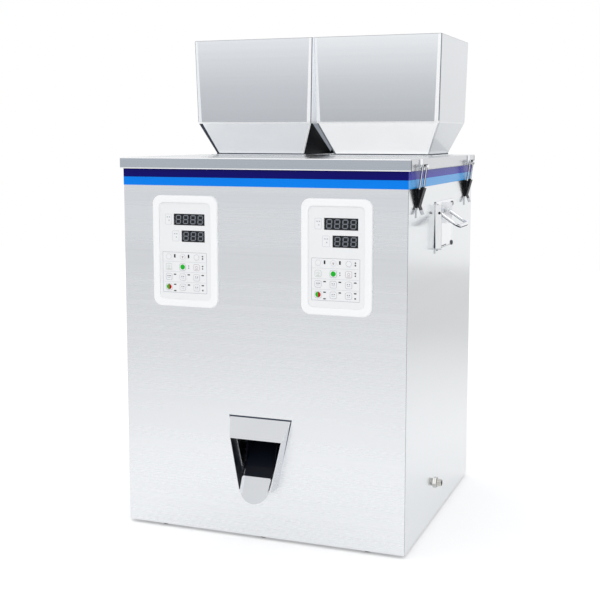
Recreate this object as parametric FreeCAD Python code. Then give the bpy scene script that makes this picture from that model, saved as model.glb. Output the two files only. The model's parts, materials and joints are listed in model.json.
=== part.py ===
import FreeCAD, Part
import math
import os

V = FreeCAD.Vector

# Case: x runs across the front, y from front to back, z up from the underside of the case.
case_width = 430.0
case_depth = 406.0
rim_height = 541.0
sheet = 1.2
rim_flange = 12.0
base_upstand = 14.0
fit_gap = 0.3
pin_gap = 0.12

# Six rubber feet
foot_height = 4.0
foot_radius = 7.5
foot_taper = 1.0
foot_front_inset = 14.0
foot_side_inset = 56.0

# Two coloured films round the front and the sides
film = 0.25
stripe_height = 12.0
stripe_drop = 10.0

# Lid
lid_overhang = 4.0
lid_rise = 6.0
lid_skirt = 16.0
seal_width = 8.0
seal_inset = 2.0

# Hoppers, measured from the case's sides and back and up from the lid
hopper_side_margin = 9.5
hopper_gap = 1.0
hopper_height = 184.0
bin_foot_height = 53.0
bin_depth = 191.0
bin_lean = 3.2
hopper_back_reach = 4.0
outlet_step_x = 26.0
outlet_step_y = 30.0
hopper_flange = 8.0
hem_height = 10.0

# Outlet necks under the lid
neck_flange = 11.0
neck_drop = 29.0
chute_step_x = 30.5
chute_step_y = 19.5
chute_length = 24.0

# Feed gates on the front of the chutes
gate_thickness = 1.5
gate_side_step = 2.0
gate_edge = 2.8
gate_travel = 10.0
gate_stud_radius = 2.0
gate_stud_rise = 9.0
gate_nut_radius = 5.0
gate_nut_length = 5.0

# Vibrating trays
feed_gap = 10.0
tray_side_margin = 7.5
tray_back_margin = 10.5
tray_overlap = 5.0
tray_height = 30.0
tray_wall = 1.5
bar_height = 14.5
bar_depth = 13.5
bar_side_step = 13.5
armature_width = 44.0
armature_depth = 40.0

# Feeder bases, magnets and leaf springs
spring_height = 76.5
spring_angle = 20.0
spring_thickness = 1.5
spring_side_step = 18.5
spring_front_inset = 45.0
spring_back_inset = 38.0
feeder_base_side_step = 11.5
feeder_base_height = 25.0
magnet_height = 28.0
magnet_yoke = 8.8
magnet_gap = 1.2
rubber_radius = 9.0
rubber_height = 15.0
shelf_margin = 2.0
shelf_flange = 20.0

# Weigh buckets and their doors
bucket_wall = 1.2
bucket_front_margin = 65.0
bucket_depth = 98.0
bucket_drop = 8.0
bucket_front_height = 30.0
bucket_back_height = 45.0
bucket_outlet_reach = 26.0
bucket_height = 98.0
bucket_mouth_cut = 9.6
ear_radius = 5.0
hinge_forward = 4.0
hinge_rise = 3.0
shaft_radius = 1.5
barrel_radius = 3.0
door_thickness = 1.5
door_start = 8.0
lever_side_gap = 20.0
lever_length = 24.0
lever_half_width = 2.0
lever_half_thickness = 1.5
roller_radius = 4.0

# Door solenoids
pusher_drop = 21.0
pusher_radius = 5.5
pusher_thickness = 3.0
pusher_gap = 1.0
plunger_radius = 3.0
plunger_length = 60.0
solenoid_size = 26.0
solenoid_length = 50.0
solenoid_setback = 19.0
bracket_thickness = 3.0

# Load cells
cell_width = 13.0
cell_height = 22.0
cell_length = 81.0
cell_drop = 40.0
cell_front_step = 33.0
cell_post_depth = 14.0
cell_arm_depth = 17.0
cell_arm_length = 8.8
cell_hole_radius = 5.94
cell_hole_offset = 6.6

# Collecting funnel
funnel_drop = 27.0
funnel_side_margin = 9.8
funnel_front_margin = 27.0
funnel_depth = 120.0
funnel_outlet_front_margin = 33.0
funnel_outlet_inset = 4.0
funnel_outlet_side_step = 2.5
funnel_clearance = 2.0
funnel_tab_half_width = 30.0
funnel_tab_drop = 20.0

# Discharge trough and spout hood: heights are built up from the tongue's tip
tongue_tip_height = 58.0
tongue_bend_rise = 13.0
tongue_crease_rise = 34.0
tongue_crease_reach = 2.0
tongue_bend_forward = 22.0
tongue_tip_forward = 5.5
tongue_taper = 2.5
tongue_flange = 4.0
trough_half_width = 23.5
trough_reach = 83.0
trough_lip_rise = 16.0
trough_rim_front_margin = 29.0
hood_tip_rise = 17.0
hood_lip_rise = 75.4
hood_top_rise = 25.6
hood_top_half_width = 47.3
hood_lip_reach = 18.0
hood_lip_half_width = 40.5
hood_tip_forward = 5.0
hood_tip_clearance = 1.0
spout_opening_margin = 4.0
spout_opening_drop = 1.5

# Control panels, laid out down from their top edge and in from their right edge
panel_side_margin = 100.0
panel_drop = 128.5
panel_width = 102.5
panel_corner = 13.0
panel_border = 10.0
panel_border_rise = 4.0
panel_field_rise = 2.0
border_round = 1.2
window_side_margin = 10.05
window_clearance = 0.4
long_window_width = 49.3
short_window_width = 37.0
window_height = 16.6
window_top_margin = 16.3
window_gap = 7.4
display_depth = 8.0
display_recess = 0.5
board_thickness = 1.6
board_margin = 3.0
standoff_radius = 3.0
membrane = 0.5
membrane_clearance = 0.5
key_rise = 0.6
key_size = 10.0
key_corner = 2.4
key_pitch_x = 22.2
key_pitch_z = 14.75
key_shift = -4.2
key_top_gap = 16.675
key_bottom_margin = 13.175
key_columns = 3
key_rows = 4

# Folding handles on the sides
handle_front_margin = 151.0
handle_plate_depth = 112.0
handle_plate_height = 76.0
handle_drop = 59.0
handle_plate_thickness = 1.5
handle_screw_edge = 7.5
handle_ear_margin = 3.4
handle_ear_thickness = 2.0
handle_ear_low_step = 6.0
handle_ear_high_step = 4.0
handle_far_ear_step = 69.0
handle_far_ear_height = 32.0
handle_pivot_reach = 6.6
handle_pivot_drop = 16.0
handle_rod_radius = 2.75
handle_arm = 34.0
handle_corner = 11.0
handle_droop = 34.0
handle_eye_radius = 3.3
handle_eye_length = 4.8
handle_pin_radius = 1.8
screw_shank_radius = 2.0
screw_head_radius = 3.8
screw_head_height = 2.0
screw_length = 7.0
screw_hole_gap = 0.2

# Toggle latches, two on each side: reaches and drops are taken from the lever's pivot
latch_inset = 48.0
latch_pivot_reach = 5.8
latch_pivot_drop = 1.9
latch_link_drop = 9.8
latch_link_inset = 2.0
latch_base_width = 17.0
latch_base_length = 40.7
latch_base_thickness = 1.2
latch_ear_gap = 9.0
latch_ear_radius = 2.4
latch_ear_root = 6.0
latch_cheek_radius = 3.5
latch_lever_width = 15.0
lever_tip_drop = 33.8
lever_tip_forward = 2.4
lever_waist_drop = 22.3
lever_waist_inset = 2.0
lever_top_rise = 2.0
lever_top_forward = 4.8
latch_pin_radius = 1.5
latch_bail_radius = 1.5
latch_bail_width = 22.0
latch_stub_radius = 1.2
latch_hook_forward = 6.0
latch_hook_drop = 9.0
keeper_width = 14.0
keeper_lip_gap = 1.5
keeper_lip_height = 0.5

# Pedal socket on the right side
socket_front_margin = 178.0
socket_z = 52.0
socket_nut_radius = 8.5
socket_nut_height = 3.0
socket_radius = 6.0
socket_reach = 10.0
socket_bore = 4.4
socket_bore_depth = 7.0
socket_thread_radius = 5.2
socket_inside = 9.0

# Rear panel fittings
vent_rows = 9
vent_pitch = 12.0
vent_length = 70.0
vent_height = 4.0
vent_corner = 1.9
vent_side_margin = 120.0
vent_bottom = 150.0
rear_screw_inset = 6.0
rear_screw_rows = 4
inlet_side_margin = 95.0
inlet_z = 60.0
inlet_width = 27.0
inlet_height = 20.0
inlet_flange = 11.0
inlet_flange_thickness = 2.5
inlet_rim = 2.0
inlet_depth = 22.0
inlet_floor = 4.0
inlet_side_wall = 2.0
inlet_end_wall = 2.5
inlet_corner = 3.0
inlet_pin_width = 2.0
inlet_pin_length = 12.0
inlet_pin_root = 1.0
inlet_pin_spread = 7.0
inlet_pin_drop = 2.5
inlet_pin_rise = 2.0
switch_side_margin = 145.0
switch_opening_width = 10.8
switch_opening_height = 21.6
switch_rim = 3.0
switch_depth = 18.0
rocker_side_gap = 0.4
rocker_end_gap = 1.2
rocker_tilt = 8.0
rocker_tail = 3.0
rocker_tail_half_height = 5.28
rocker_rise = 1.6
rocker_dip = 0.8

# Power supply on the base
supply_width = 110.0
supply_depth = 98.0
supply_height = 38.0
supply_back_margin = 45.0
supply_wall = 1.5
terminal_depth = 18.0
terminal_inset = 4.0

# Places that follow from the sizes above
half_width = case_width / 2
half_depth = case_depth / 2
front = -half_depth
back = half_depth
inner_x = half_width - sheet
inner_front = front + sheet
inner_back = back - sheet

stripe_top = rim_height - stripe_drop
lid_top = rim_height + lid_rise
lid_underside = lid_top - sheet
lid_half_width = half_width + lid_overhang
lid_half_depth = half_depth + lid_overhang

bin_width = half_width - hopper_side_margin - hopper_gap / 2
hopper_x = (bin_width + hopper_gap) / 2
hopper_y = half_depth + hopper_back_reach - bin_depth / 2
hopper_top = lid_top + hopper_height
bin_bottom = lid_top + bin_foot_height
outlet_width = bin_width - 2 * outlet_step_x
outlet_depth = bin_depth - 2 * outlet_step_y

chute_width = outlet_width - 2 * chute_step_x
chute_depth = outlet_depth - 2 * chute_step_y
chute_top = rim_height - neck_drop
chute_bottom = chute_top - chute_length
gate_stud_height = chute_bottom + gate_stud_rise
gate_hole_radius = gate_stud_radius + screw_hole_gap

tray_floor = chute_bottom - feed_gap
tray_low = tray_floor - tray_wall
tray_rim = tray_floor + tray_height
tray_width = chute_width + 2 * tray_side_margin
tray_back = hopper_y + chute_depth / 2 + tray_back_margin

bucket_front = front + bucket_front_margin
bucket_back = bucket_front + bucket_depth
bucket_rim = tray_floor - bucket_drop
bucket_front_edge = bucket_rim - bucket_front_height
bucket_back_edge = bucket_rim - bucket_back_height
bucket_outlet_y = bucket_front + bucket_outlet_reach
bucket_outlet_z = bucket_rim - bucket_height
bucket_inner_width = tray_width - 2 * tray_wall
lever_offset = bucket_inner_width / 2 + lever_side_gap
tray_front = bucket_back - tray_overlap

feeder_base_bottom = tray_low - spring_height
shelf_top = feeder_base_bottom - rubber_height
spring_front = tray_front + spring_front_inset
spring_spacing = tray_back - spring_back_inset - spring_front
spring_width = tray_width - 2 * spring_side_step
feeder_base_width = tray_width - 2 * feeder_base_side_step
bar_width = tray_width - 2 * bar_side_step

cell_inner_face = hopper_x - bucket_inner_width / 2 - bucket_wall - cell_arm_length - cell_width
cell_front = bucket_front + cell_front_step
cell_back = cell_front + cell_length
cell_bottom = bucket_rim - cell_drop
shelf_front = cell_back - cell_post_depth - shelf_margin

tongue_bend_height = tongue_tip_height + tongue_bend_rise
tongue_crease_height = tongue_bend_height + tongue_crease_rise
tongue_bend_reach = tongue_crease_reach + tongue_bend_forward
tongue_tip_reach = tongue_bend_reach + tongue_tip_forward
tongue_tip_half_width = trough_half_width - tongue_taper
trough_back = front + trough_reach
trough_back_height = tongue_crease_height + trough_reach + tongue_crease_reach
trough_lip_height = tongue_crease_height + tongue_crease_reach + trough_lip_rise
hood_tip_height = tongue_tip_height + hood_tip_rise
hood_lip_height = hood_tip_height + hood_lip_rise
hood_top_height = hood_lip_height + hood_top_rise
hood_tip_reach = hood_lip_reach + hood_tip_forward
hood_tip_half_width = trough_half_width + hood_tip_clearance
spout_opening_bottom = tongue_crease_height - spout_opening_drop

funnel_top = bucket_outlet_z - funnel_drop
funnel_bottom = trough_back_height + funnel_clearance
funnel_top_half_width = hopper_x + bucket_inner_width / 2 + bucket_wall + funnel_side_margin
funnel_front = front + funnel_front_margin
funnel_back = funnel_front + funnel_depth
funnel_outlet_half_width = trough_half_width - funnel_outlet_side_step
funnel_outlet_front = front + funnel_outlet_front_margin
funnel_outlet_back = trough_back - funnel_outlet_inset

panel_x = half_width - panel_side_margin
panel_height = rim_height - panel_drop
key_field_height = (key_rows - 1) * key_pitch_z + key_size
panel_length = (2 * panel_border + window_top_margin + 2 * window_height + window_gap
                + key_top_gap + key_field_height + key_bottom_margin)
window_right = panel_width / 2 - panel_border - window_side_margin
long_window_z = panel_length / 2 - panel_border - window_top_margin - window_height / 2
short_window_z = long_window_z - window_height - window_gap
key_centre_z = short_window_z - window_height / 2 - key_top_gap - key_field_height / 2

handle_plate_front = front + handle_front_margin
handle_plate_back = handle_plate_front + handle_plate_depth
handle_plate_top = rim_height - handle_drop
handle_plate_bottom = handle_plate_top - handle_plate_height
handle_ear_reach = handle_pivot_reach + handle_ear_margin
handle_ear_bottom = handle_plate_bottom + handle_ear_low_step
handle_ear_top = handle_plate_top - handle_ear_high_step
handle_far_ear = handle_plate_front + handle_far_ear_step
handle_far_ear_bottom = handle_ear_top - handle_far_ear_height
handle_pivot_height = handle_plate_top - handle_pivot_drop

latch_y = half_depth - latch_inset
latch_base_top = stripe_top - 2 * stripe_height - fit_gap
latch_base_bottom = latch_base_top - latch_base_length
latch_pivot_height = latch_base_top - latch_pivot_drop
latch_lever_tip = (latch_pivot_reach + lever_tip_forward, latch_pivot_height - lever_tip_drop)
latch_lever_waist = (latch_pivot_reach - lever_waist_inset, latch_pivot_height - lever_waist_drop)
latch_lever_top = (latch_pivot_reach + lever_top_forward, latch_pivot_height + lever_top_rise)
latch_hook_reach = lid_overhang + latch_hook_forward
latch_hook_height = lid_top - latch_hook_drop

socket_y = front + socket_front_margin
vent_x = half_width - vent_side_margin
inlet_x = half_width - inlet_side_margin
switch_x = half_width - switch_side_margin
rocker_width = switch_opening_width - 2 * rocker_side_gap
rocker_height = switch_opening_height - 2 * rocker_end_gap

frame_y = (front - tongue_tip_reach + lid_half_depth) / 2


def box(x0, x1, y0, y1, z0, z1):
    return Part.makeBox(x1 - x0, y1 - y0, z1 - z0, V(x0, y0, z0))


def rod(start, direction, radius, length):
    return Part.makeCylinder(radius, length, start, direction)


def prism_x(points, x0, x1):
    """A profile in the y-z plane, carried from x0 to x1."""
    corners = [V(x0, y, z) for y, z in points]
    face = Part.Face(Part.makePolygon(corners + corners[:1]))
    return face.extrude(V(x1 - x0, 0, 0))


def prism_y(points, y0, y1):
    """A profile in the x-z plane, carried from y0 to y1."""
    corners = [V(x, y0, z) for x, z in points]
    face = Part.Face(Part.makePolygon(corners + corners[:1]))
    return face.extrude(V(0, y1 - y0, 0))


def rectangle(centre_x, centre_y, half_x, half_y, z):
    corners = [V(centre_x + sx * half_x, centre_y + sy * half_y, z)
               for sx, sy in ((-1, -1), (1, -1), (1, 1), (-1, 1))]
    return Part.makePolygon(corners + corners[:1])


def tapered_block(centre_x, sections):
    """A straight-sided loft through level rectangles: (centre y, half x, half y, z)."""
    wires = [rectangle(centre_x, y, half_x, half_y, z) for y, half_x, half_y, z in sections]
    return Part.makeLoft(wires, True, True)


def tapered_shell(centre_x, outside, wall):
    """The walls of a tapered block, open at its top and bottom."""
    inside = [(y, half_x - wall, half_y - wall, z) for y, half_x, half_y, z in outside]
    return tapered_block(centre_x, outside).cut(tapered_block(centre_x, inside))


def rounded_plate(centre_x, centre_z, width, height, corner, y0, y1):
    plate = box(centre_x - width / 2, centre_x + width / 2, y0, y1,
                centre_z - height / 2, centre_z + height / 2)
    uprights = [edge for edge in plate.Edges
                if abs(edge.Vertexes[0].Y - edge.Vertexes[1].Y) > abs(y1 - y0) / 2]
    return plate.makeFillet(corner, uprights)


def fused(shapes):
    whole = shapes[0]
    for shape in shapes[1:]:
        whole = whole.fuse(shape)
    return whole.removeSplitter()


def cut_all(shape, tools):
    for tool in tools:
        shape = shape.cut(tool)
    return shape


def mirrored(shape):
    return shape.mirror(V(0, 0, 0), V(1, 0, 0))


def save(name, shapes):
    """Raises the piece onto its feet, moves it to the frame's origin and writes it."""
    solids = []
    for shape in shapes:
        solids += shape.Solids
    group = solids[0] if len(solids) == 1 else Part.makeCompound(solids)
    group = group.copy()
    group.translate(V(0, -frame_y, foot_height))
    for solid in group.Solids:
        if not (solid.isValid() and solid.isClosed()):
            raise ValueError(name + " has a solid that isn't closed")
    group.exportStep("parts/" + name + ".step")


def save_pair(name, right_shapes):
    save(name + "_right", right_shapes)
    save(name + "_left", [mirrored(shape) for shape in right_shapes])


def both_sides(shapes):
    return shapes + [mirrored(shape) for shape in shapes]


def window_places():
    """Width, centre x and centre z of the two display windows, from the panel's centre."""
    return [(long_window_width, window_right - long_window_width / 2, long_window_z),
            (short_window_width, window_right - short_window_width / 2, short_window_z)]


def hood_side_x(reach, height):
    """Half width of the spout hood's outside at a reach in front of the panel."""
    top = V(hood_top_half_width, 0, hood_top_height)
    lip = V(hood_lip_half_width, hood_lip_reach, hood_lip_height)
    tip = V(hood_tip_half_width, hood_tip_reach, hood_tip_height)
    normal = (lip - top).cross(tip - top)
    return top.x - (normal.y * reach + normal.z * (height - top.z)) / normal.x


def hood_wedge(inset, near, far, low, high):
    """The space between the hood's two side walls, moved in by an inset."""
    wires = []
    for reach in (near, far):
        low_x = hood_side_x(reach, low) - inset
        high_x = hood_side_x(reach, high) - inset
        y = front - reach
        corners = [V(-low_x, y, low), V(low_x, y, low), V(high_x, y, high), V(-high_x, y, high)]
        wires.append(Part.makePolygon(corners + corners[:1]))
    return Part.makeLoft(wires, True, True)


def spout_hood():
    reach_past = 8.0
    outline = [(front, hood_top_height), (front - hood_lip_reach, hood_lip_height),
               (front - hood_tip_reach, hood_tip_height), (front, hood_tip_height)]
    slope = math.atan2(hood_top_height - hood_lip_height, hood_lip_reach)
    drop = sheet / math.cos(slope)
    top_slope = (hood_top_height - hood_lip_height) / hood_lip_reach
    far = hood_tip_reach + reach_past
    inner_high = hood_top_height - drop + reach_past * top_slope
    inner_low = hood_top_height - drop - far * top_slope
    cavity = [(front + reach_past, inner_high), (front - far, inner_low),
              (front - far, hood_tip_height - reach_past),
              (front + reach_past, hood_tip_height - reach_past)]
    low = hood_tip_height - 2 * reach_past
    high = hood_top_height + 2 * reach_past
    reach_x = 2 * hood_top_half_width
    outer = prism_x(outline, -reach_x, reach_x).common(
        hood_wedge(0, -2 * reach_past, far + reach_past, low, high))
    inner = prism_x(cavity, -reach_x, reach_x).common(
        hood_wedge(sheet, -2 * reach_past, far + reach_past, low, high))
    return outer.cut(inner)


def spout_opening():
    """The hole in the front panel behind the hood."""
    low = spout_opening_bottom
    high = hood_top_height - spout_opening_margin
    low_x = hood_side_x(0, low) - spout_opening_margin
    high_x = hood_side_x(0, high) - spout_opening_margin
    corners = [(-low_x, low), (low_x, low), (high_x, high), (-high_x, high)]
    return prism_y(corners, front - sheet, inner_front + sheet)


def offset_polyline(points, distance):
    """The same run of straight lines, moved to its left by a distance."""
    lines = []
    for (y0, z0), (y1, z1) in zip(points, points[1:]):
        length = math.hypot(y1 - y0, z1 - z0)
        normal = (-(z1 - z0) / length, (y1 - y0) / length)
        lines.append(((y0 + normal[0] * distance, z0 + normal[1] * distance),
                      (y1 - y0, z1 - z0)))
    moved = [lines[0][0]]
    for (p, d), (q, e) in zip(lines, lines[1:]):
        cross = d[0] * e[1] - d[1] * e[0]
        t = ((q[0] - p[0]) * e[1] - (q[1] - p[1]) * e[0]) / cross
        moved.append((p[0] + d[0] * t, p[1] + d[1] * t))
    last_point, last_direction = lines[-1]
    moved.append((last_point[0] + last_direction[0], last_point[1] + last_direction[1]))
    return moved


def band(points, near, far):
    """A profile strip between two offsets of a polyline."""
    return offset_polyline(points, near) + offset_polyline(points, far)[::-1]


def trough_line():
    """The top of the trough's floor from its back end to the tip of the tongue."""
    crease_y = front - tongue_crease_reach
    return [(front - tongue_tip_reach, tongue_tip_height),
            (front - tongue_bend_reach, tongue_bend_height),
            (crease_y, tongue_crease_height),
            (trough_back, trough_back_height)]


def tongue_outline(inset):
    """The trough seen from the front: straight sides that close in to a round tip."""
    top = rim_height
    wide = trough_half_width - inset
    bend = tongue_tip_half_width - inset
    outline = [Part.makeLine(V(-bend, 0, tongue_bend_height), V(-wide, 0, tongue_crease_height)),
               Part.makeLine(V(-wide, 0, tongue_crease_height), V(-wide, 0, top)),
               Part.makeLine(V(-wide, 0, top), V(wide, 0, top)),
               Part.makeLine(V(wide, 0, top), V(wide, 0, tongue_crease_height)),
               Part.makeLine(V(wide, 0, tongue_crease_height), V(bend, 0, tongue_bend_height)),
               Part.Arc(V(bend, 0, tongue_bend_height), V(0, 0, tongue_tip_height),
                        V(-bend, 0, tongue_bend_height)).toShape()]
    return Part.Face(Part.Wire(Part.__sortEdges__(outline)))


def discharge_trough():
    line = trough_line()
    reach = case_depth
    inside_y = inner_front + fit_gap
    floor_strip = prism_x(band(line, 0, -sheet), -half_width, half_width)
    floor = floor_strip.common(tongue_outline(0).extrude(V(0, -reach, 0)))
    crease_y, crease_z = line[2]
    side = [(inside_y, crease_z + inside_y - crease_y), (inside_y, trough_lip_height),
            (front + trough_rim_front_margin, funnel_bottom), (trough_back, funnel_bottom),
            (trough_back, trough_back_height)]
    tall = prism_x(side, -half_width, half_width)
    low = prism_x(band(line[1:3] + [(inside_y, crease_z + inside_y - crease_y)],
                       0, tongue_flange), -half_width, half_width)
    full = tongue_outline(0).extrude(V(0, -reach, 0))
    hollow = tongue_outline(sheet).extrude(V(0, -reach, 0))
    walls = [shape.common(full).cut(hollow) for shape in (tall, low)]
    end_wall = tall.common(box(-trough_half_width, trough_half_width,
                               trough_back - 3 * sheet, 0, 0, rim_height))
    above = box(-half_width, half_width, front, back, funnel_bottom - fit_gap, rim_height)
    return fused([floor] + walls + [end_wall]).cut(above)


def collecting_funnel():
    top_y = (funnel_front + funnel_back) / 2
    top_half_depth = (funnel_back - funnel_front) / 2
    outlet_y = (funnel_outlet_front + funnel_outlet_back) / 2
    outlet_half_depth = (funnel_outlet_back - funnel_outlet_front) / 2
    walls = tapered_shell(0, [
        (outlet_y, funnel_outlet_half_width, outlet_half_depth, funnel_bottom),
        (top_y, funnel_top_half_width, top_half_depth, funnel_top)], sheet)
    tab = box(-funnel_tab_half_width, funnel_tab_half_width, inner_front,
              funnel_front + sheet, funnel_top - sheet, funnel_top)
    foot = box(-funnel_tab_half_width, funnel_tab_half_width, inner_front, inner_front + sheet,
               funnel_top - funnel_tab_drop, funnel_top)
    return fused([walls, tab, foot])


def screw_points():
    """Handle screws on the right side, as (y, z)."""
    edge = handle_screw_edge
    first = handle_plate_front + handle_ear_thickness + edge
    last = handle_plate_back - edge
    return [(y, z) for y in (first, last)
            for z in (handle_plate_bottom + edge, handle_plate_top - edge)]


def screw_hole(x0, x1, y, z):
    return rod(V(x0, y, z), V(1, 0, 0), screw_shank_radius + screw_hole_gap, x1 - x0)


def front_panel():
    panel = box(-half_width, half_width, front, inner_front, 0, rim_height)
    flange = box(-inner_x, inner_x, inner_front, front + rim_flange,
                 rim_height - sheet, rim_height)
    tools = [spout_opening()]
    cutout_width = panel_width - 2 * panel_border
    cutout_height = panel_length - 2 * panel_border
    for side in (-1, 1):
        x = side * panel_x
        tools.append(box(x - cutout_width / 2, x + cutout_width / 2, front - sheet,
                         inner_front + sheet, panel_height - cutout_height / 2,
                         panel_height + cutout_height / 2))
    return cut_all(fused([panel, flange]), tools)


def side_panel(with_socket):
    """The right side panel; the left one is its mirror image."""
    panel = box(inner_x, half_width, inner_front, inner_back, 0, rim_height)
    top = box(half_width - rim_flange, inner_x, front + rim_flange, back - rim_flange,
              rim_height - sheet, rim_height)
    rear = box(half_width - rim_flange, inner_x, inner_back - sheet, inner_back,
               base_upstand + sheet, rim_height - 2 * sheet)
    tools = [screw_hole(inner_x - sheet, half_width + sheet, y, z) for y, z in screw_points()]
    tools += [rear_screw_hole(x, z) for x, z in rear_screw_points() if x > 0]
    if with_socket:
        tools.append(rod(V(inner_x - sheet, socket_y, socket_z), V(1, 0, 0),
                         socket_thread_radius + fit_gap, 3 * sheet))
    return cut_all(fused([panel, top, rear]), tools)


def rear_screw_points():
    heights = [rim_height * (row + 0.5) / rear_screw_rows for row in range(rear_screw_rows)]
    return [(side * (half_width - rear_screw_inset), z) for side in (-1, 1) for z in heights]


def rear_screw_hole(x, z):
    return rod(V(x, inner_back - 2 * sheet, z), V(0, 1, 0),
               screw_shank_radius + screw_hole_gap, 4 * sheet)


def rear_panel():
    panel = box(-half_width, half_width, inner_back, back, 0, rim_height)
    flange = box(-inner_x, inner_x, back - rim_flange, inner_back,
                 rim_height - sheet, rim_height)
    tools = [rear_screw_hole(x, z) for x, z in rear_screw_points()]
    for side in (-1, 1):
        for row in range(vent_rows):
            z = vent_bottom + row * vent_pitch
            tools.append(rounded_plate(side * vent_x, z, vent_length, vent_height,
                                       vent_corner, inner_back - sheet, back + sheet))
    tools.append(rounded_plate(inlet_x, inlet_z, inlet_width + 2 * fit_gap,
                               inlet_height + 2 * fit_gap, inlet_corner,
                               inner_back - sheet, back + sheet))
    tools.append(box(switch_x - switch_opening_width / 2 - switch_rim / 2 - fit_gap,
                     switch_x + switch_opening_width / 2 + switch_rim / 2 + fit_gap,
                     inner_back - sheet, back + sheet,
                     inlet_z - switch_opening_height / 2 - switch_rim / 2 - fit_gap,
                     inlet_z + switch_opening_height / 2 + switch_rim / 2 + fit_gap))
    return cut_all(fused([panel, flange]), tools)


def rear_panel_screws():
    screws = []
    for x, z in rear_screw_points():
        head = rod(V(x, back, z), V(0, 1, 0), screw_head_radius, screw_head_height)
        shank = rod(V(x, back - screw_length, z), V(0, 1, 0), screw_shank_radius, screw_length)
        screws.append(fused([head, shank]))
    return screws


def base_tray():
    floor = box(-inner_x, inner_x, inner_front, inner_back, 0, sheet)
    outer = box(-inner_x, inner_x, inner_front, inner_back, 0, base_upstand)
    inner = box(-inner_x + sheet, inner_x - sheet, inner_front + sheet, inner_back - sheet,
                -sheet, base_upstand + sheet)
    return fused([floor, outer.cut(inner)])


def feet():
    side = half_width - foot_side_inset
    places = [(x, y) for x in (-side, 0, side)
              for y in (front + foot_front_inset, back - foot_front_inset)]
    return [Part.makeCone(foot_radius - foot_taper, foot_radius, foot_height,
                          V(x, y, -foot_height))
            for x, y in places]


def stripe(top):
    low = top - stripe_height
    outer = box(-half_width - film, half_width + film, front - film, back, low, top)
    inner = box(-half_width, half_width, front, back + film, low - film, top + film)
    return outer.cut(inner)


def lid():
    outer = box(-lid_half_width, lid_half_width, -lid_half_depth, lid_half_depth,
                lid_top - lid_skirt, lid_top)
    inner = box(-lid_half_width + sheet, lid_half_width - sheet, -lid_half_depth + sheet,
                lid_half_depth - sheet, lid_top - 2 * lid_skirt, lid_underside)
    half_x = outlet_width / 2 - sheet
    half_y = outlet_depth / 2 - sheet
    holes = [box(side * hopper_x - half_x, side * hopper_x + half_x, hopper_y - half_y,
                 hopper_y + half_y, lid_underside - sheet, lid_top + sheet)
             for side in (-1, 1)]
    return cut_all(outer, [inner] + holes)


def lid_seal():
    low = rim_height + fit_gap
    outer_x = half_width - seal_inset
    outer_y = half_depth - seal_inset
    outer = box(-outer_x, outer_x, -outer_y, outer_y, low, lid_underside)
    inner = box(-outer_x + seal_width, outer_x - seal_width, -outer_y + seal_width,
                outer_y - seal_width, low - sheet, lid_top)
    return outer.cut(inner)


def hopper():
    """The right hopper, open at the top, with its foot flange on the lid."""
    half_x = bin_width / 2
    half_y = bin_depth / 2
    top = (hopper_y, half_x, half_y, hopper_top)
    middle = (hopper_y, half_x - bin_lean, half_y - bin_lean, bin_bottom)
    foot = (hopper_y, outlet_width / 2, outlet_depth / 2, lid_top)
    shell = fused([tapered_shell(hopper_x, [middle, top], sheet),
                   tapered_shell(hopper_x, [foot, middle], sheet)])
    hem_lean = bin_lean * hem_height / (hopper_top - bin_bottom)
    hem = tapered_shell(hopper_x, [
        (hopper_y, half_x - sheet - hem_lean, half_y - sheet - hem_lean, hopper_top - hem_height),
        (hopper_y, half_x - sheet, half_y - sheet, hopper_top)], sheet)
    flange_half_x = outlet_width / 2 + hopper_flange
    flange_half_y = outlet_depth / 2 + hopper_flange
    flange = box(hopper_x - flange_half_x, hopper_x + flange_half_x, hopper_y - flange_half_y,
                 hopper_y + flange_half_y, lid_top, lid_top + sheet)
    throat = tapered_block(hopper_x, [
        (hopper_y, outlet_width / 2 - sheet, outlet_depth / 2 - sheet, lid_top - sheet),
        (hopper_y, outlet_width / 2 - sheet, outlet_depth / 2 - sheet, lid_top + 2 * sheet)])
    return fused([shell, hem, flange.cut(throat)])


def outlet_neck():
    """The right outlet neck under the lid, with the stud and nut that hold its gate."""
    top = lid_underside - sheet
    half_x = outlet_width / 2
    half_y = outlet_depth / 2
    chute_x = chute_width / 2
    chute_y = chute_depth / 2
    walls = fused([
        tapered_shell(hopper_x, [(hopper_y, chute_x, chute_y, chute_top),
                                 (hopper_y, half_x, half_y, top)], sheet),
        tapered_shell(hopper_x, [(hopper_y, chute_x, chute_y, chute_bottom),
                                 (hopper_y, chute_x, chute_y, chute_top)], sheet)])
    flange = box(hopper_x - half_x - neck_flange, hopper_x + half_x + neck_flange,
                 hopper_y - half_y - neck_flange, hopper_y + half_y + neck_flange,
                 top, lid_underside)
    hole = box(hopper_x - half_x + sheet, hopper_x + half_x - sheet, hopper_y - half_y + sheet,
               hopper_y + half_y - sheet, top - sheet, lid_top)
    return fused([walls, flange.cut(hole)])


def gate_back():
    """The y of the gate's face that slides on the chute."""
    return hopper_y - chute_depth / 2 - fit_gap


def gate_nut():
    stud_start = V(hopper_x, hopper_y - chute_depth / 2, gate_stud_height)
    reach = 2 * fit_gap + gate_thickness + gate_nut_length
    stud = rod(stud_start, V(0, -1, 0), gate_stud_radius, reach)
    nut_start = V(hopper_x, gate_back() - gate_thickness - fit_gap, gate_stud_height)
    nut = rod(nut_start, V(0, -1, 0), gate_nut_radius, gate_nut_length)
    return fused([stud, nut])


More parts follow.
